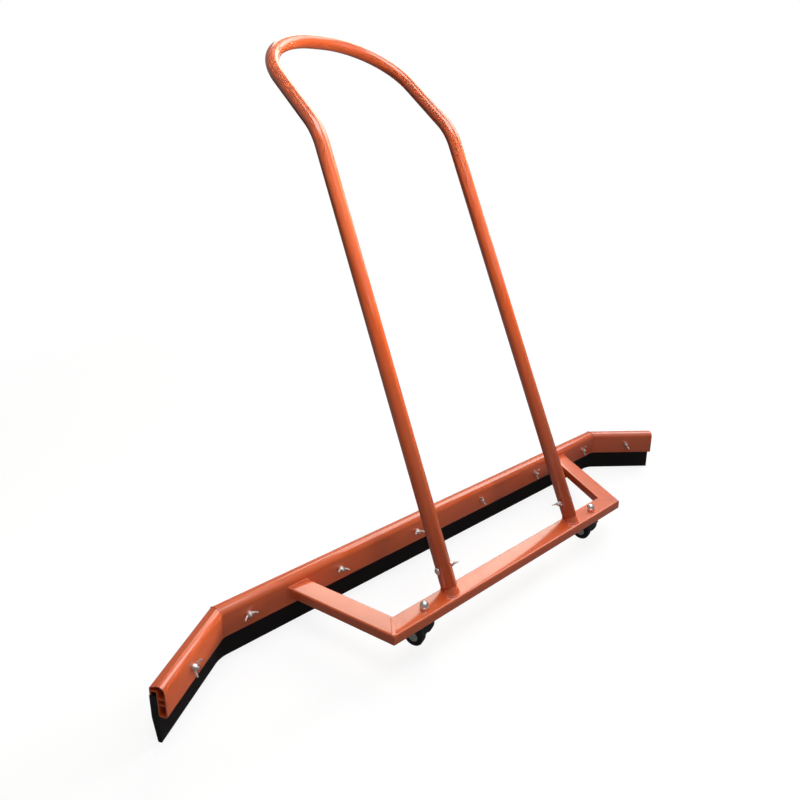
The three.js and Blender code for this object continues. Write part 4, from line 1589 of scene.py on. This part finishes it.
@dataclass
class Studio:
    """The floor, the light and the camera."""

    camera_place: tuple[float, float, float] = (-0.9038, -0.95365, 0.93445)
    yaw: float = -38.66
    pitch: float = -15.66
    roll: float = 0.16
    lens: float = 28.41
    shift: Pair = (0.00215, -0.10977)
    floor_size: float = 60.0
    floor_tone: float = 0.2
    floor_glow: float = 0.85
    floor_fade: Pair = (1.2, 2.6)
    surround: float = 0.1
    mirrored_surround: float = 0.24
    lamps: tuple[Lamp, ...] = (
        Lamp("back_softbox", 52, 36, 4.2, 2.6, 2.6, colour=WARM),
        Lamp("right_back_softbox", 20, 36, 4.2, 2.6, 0.55, colour=WARM),
        Lamp("right_softbox", 0, 50, 3.8, 2.2, 2.6),
        Lamp("front_softbox", -90, 50, 3.8, 2.2, 0.6),
        Lamp("top_softbox", -130, 80, 3.8, 2.2, 3.6),
        Lamp("gridded_front_softbox", -85, 6, 3.2, 1.2, 1.0, 1.0, 22, False),
        Lamp("gridded_right_softbox", -2, 4, 3.2, 1.2, 2.9, 0.84, 28, False),
    )

    def build(self) -> None:
        """Sets everything up."""
        scene = bpy.context.scene
        scene.view_settings.view_transform = "Standard"
        self._floor()
        self._world(scene)
        for lamp in self.lamps:
            lamp.build()
        self._camera(scene)

    def _floor(self) -> None:
        """A floor that keeps the object's soft shadow near it and is white further out."""
        half = self.floor_size / 2
        mesh = bpy.data.meshes.new("studio_floor")
        mesh.from_pydata([(-half, -half, 0), (half, -half, 0), (half, half, 0),
                          (-half, half, 0)], [], [(0, 1, 2, 3)])
        floor = linked("studio_floor", mesh)
        s = Surface("pale_floor")
        reach = s.add("ShaderNodeVectorMath", {"operation": "LENGTH"}, {0: s.place}).out("Value")
        plain = s.add("ShaderNodeBsdfDiffuse", None,
                      {"Color": (self.floor_tone, self.floor_tone, self.floor_tone, 1)}).out()
        glow = s.white("ShaderNodeEmission", self.floor_glow)
        white = s.white("ShaderNodeEmission", 1.0)
        near = s.add("ShaderNodeAddShader", None, {0: plain, 1: glow}).out()
        both = s.blend(reach.between(*self.floor_fade), near, white)
        seen = s.add("ShaderNodeLightPath").out("Is Camera Ray")
        s.add("ShaderNodeOutputMaterial", None, {"Surface": s.blend(seen, plain, both)})
        mesh.materials.append(s.material)

    def _world(self, scene: bpy.types.Scene) -> None:
        """A surround that is white to the camera, dim in mirrors and dimmer as soft light."""
        world = bpy.data.worlds.new("studio")
        scene.world = world
        world.use_nodes = True
        world.node_tree.nodes.clear()
        graph = Graph(world.node_tree)
        soft = graph.white("ShaderNodeBackground", self.surround)
        white = graph.white("ShaderNodeBackground", 1.0)
        bright = graph.white("ShaderNodeBackground", self.mirrored_surround)
        path = graph.add("ShaderNodeLightPath")
        mirrored = path.out("Is Glossy Ray") + path.out("Is Transmission Ray")
        light = graph.blend(mirrored, soft, bright)
        mix = graph.blend(path.out("Is Camera Ray"), light, white)
        graph.add("ShaderNodeOutputWorld", None, {"Surface": mix})

    def _camera(self, scene: bpy.types.Scene) -> None:
        """The camera where the photo was taken from."""
        data = bpy.data.cameras.new("camera")
        data.sensor_width = 36.0
        data.sensor_fit = "HORIZONTAL"
        data.lens = self.lens
        data.shift_x, data.shift_y = self.shift
        data.clip_end = 200.0
        camera = linked("camera", data)
        yaw, pitch, roll = (math.radians(a) for a in (self.yaw, self.pitch, self.roll))
        turn = (Matrix.Rotation(yaw, 4, "Z") @ Matrix.Rotation(math.pi / 2 + pitch, 4, "X")
                @ Matrix.Rotation(roll, 4, "Z"))
        camera.matrix_world = Matrix.Translation(self.camera_place) @ turn
        scene.camera = camera


NUT_TURNS = {f"blade_nut_{number}": turn for number, turn in
             enumerate((90, 12, -14, -10, -62, 86, 92, 88), start=1)}
NUT_TURNS |= {"handle_nut_left": 55, "handle_nut_right": 115}


def spot_of(joint: dict[str, Any], roll: float = 0.0) -> Spot:
    """A joint's place and axis."""
    return Spot(Vector(joint["pos_m"]) / MM, Vector(joint["axis"]).normalized(),
                math.radians(roll))


def main() -> None:
    """Loads the frame and builds the object round it."""
    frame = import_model()
    joints = {joint["child"]: joint for joint in frame["joints"]}
    finishes = Finishes.make()
    Studio().build()
    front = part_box("rail_main")[0].y / MM
    blade = Blade(finishes, front)
    blade.build()
    tubes = TubeFrame(finishes, front)
    tubes.build()
    handle = Handle(finishes, tubes)
    handle.build()
    Welds(finishes, blade, tubes, handle).build()
    Fasteners(finishes, {key: spot_of(joints[key], turn)
                         for key, turn in NUT_TURNS.items()}).build()
    for side, _ in SIDES:
        wheels = {face: spot_of(joints[f"wheel_{side}_{face}"]) for face in ("a", "b")}
        swivel = Vector(joints[f"castor_{side}"]["pos_m"]) / MM
        Castor(finishes, side, swivel, wheels).build()
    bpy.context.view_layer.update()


if __name__ == "__main__":
    main()
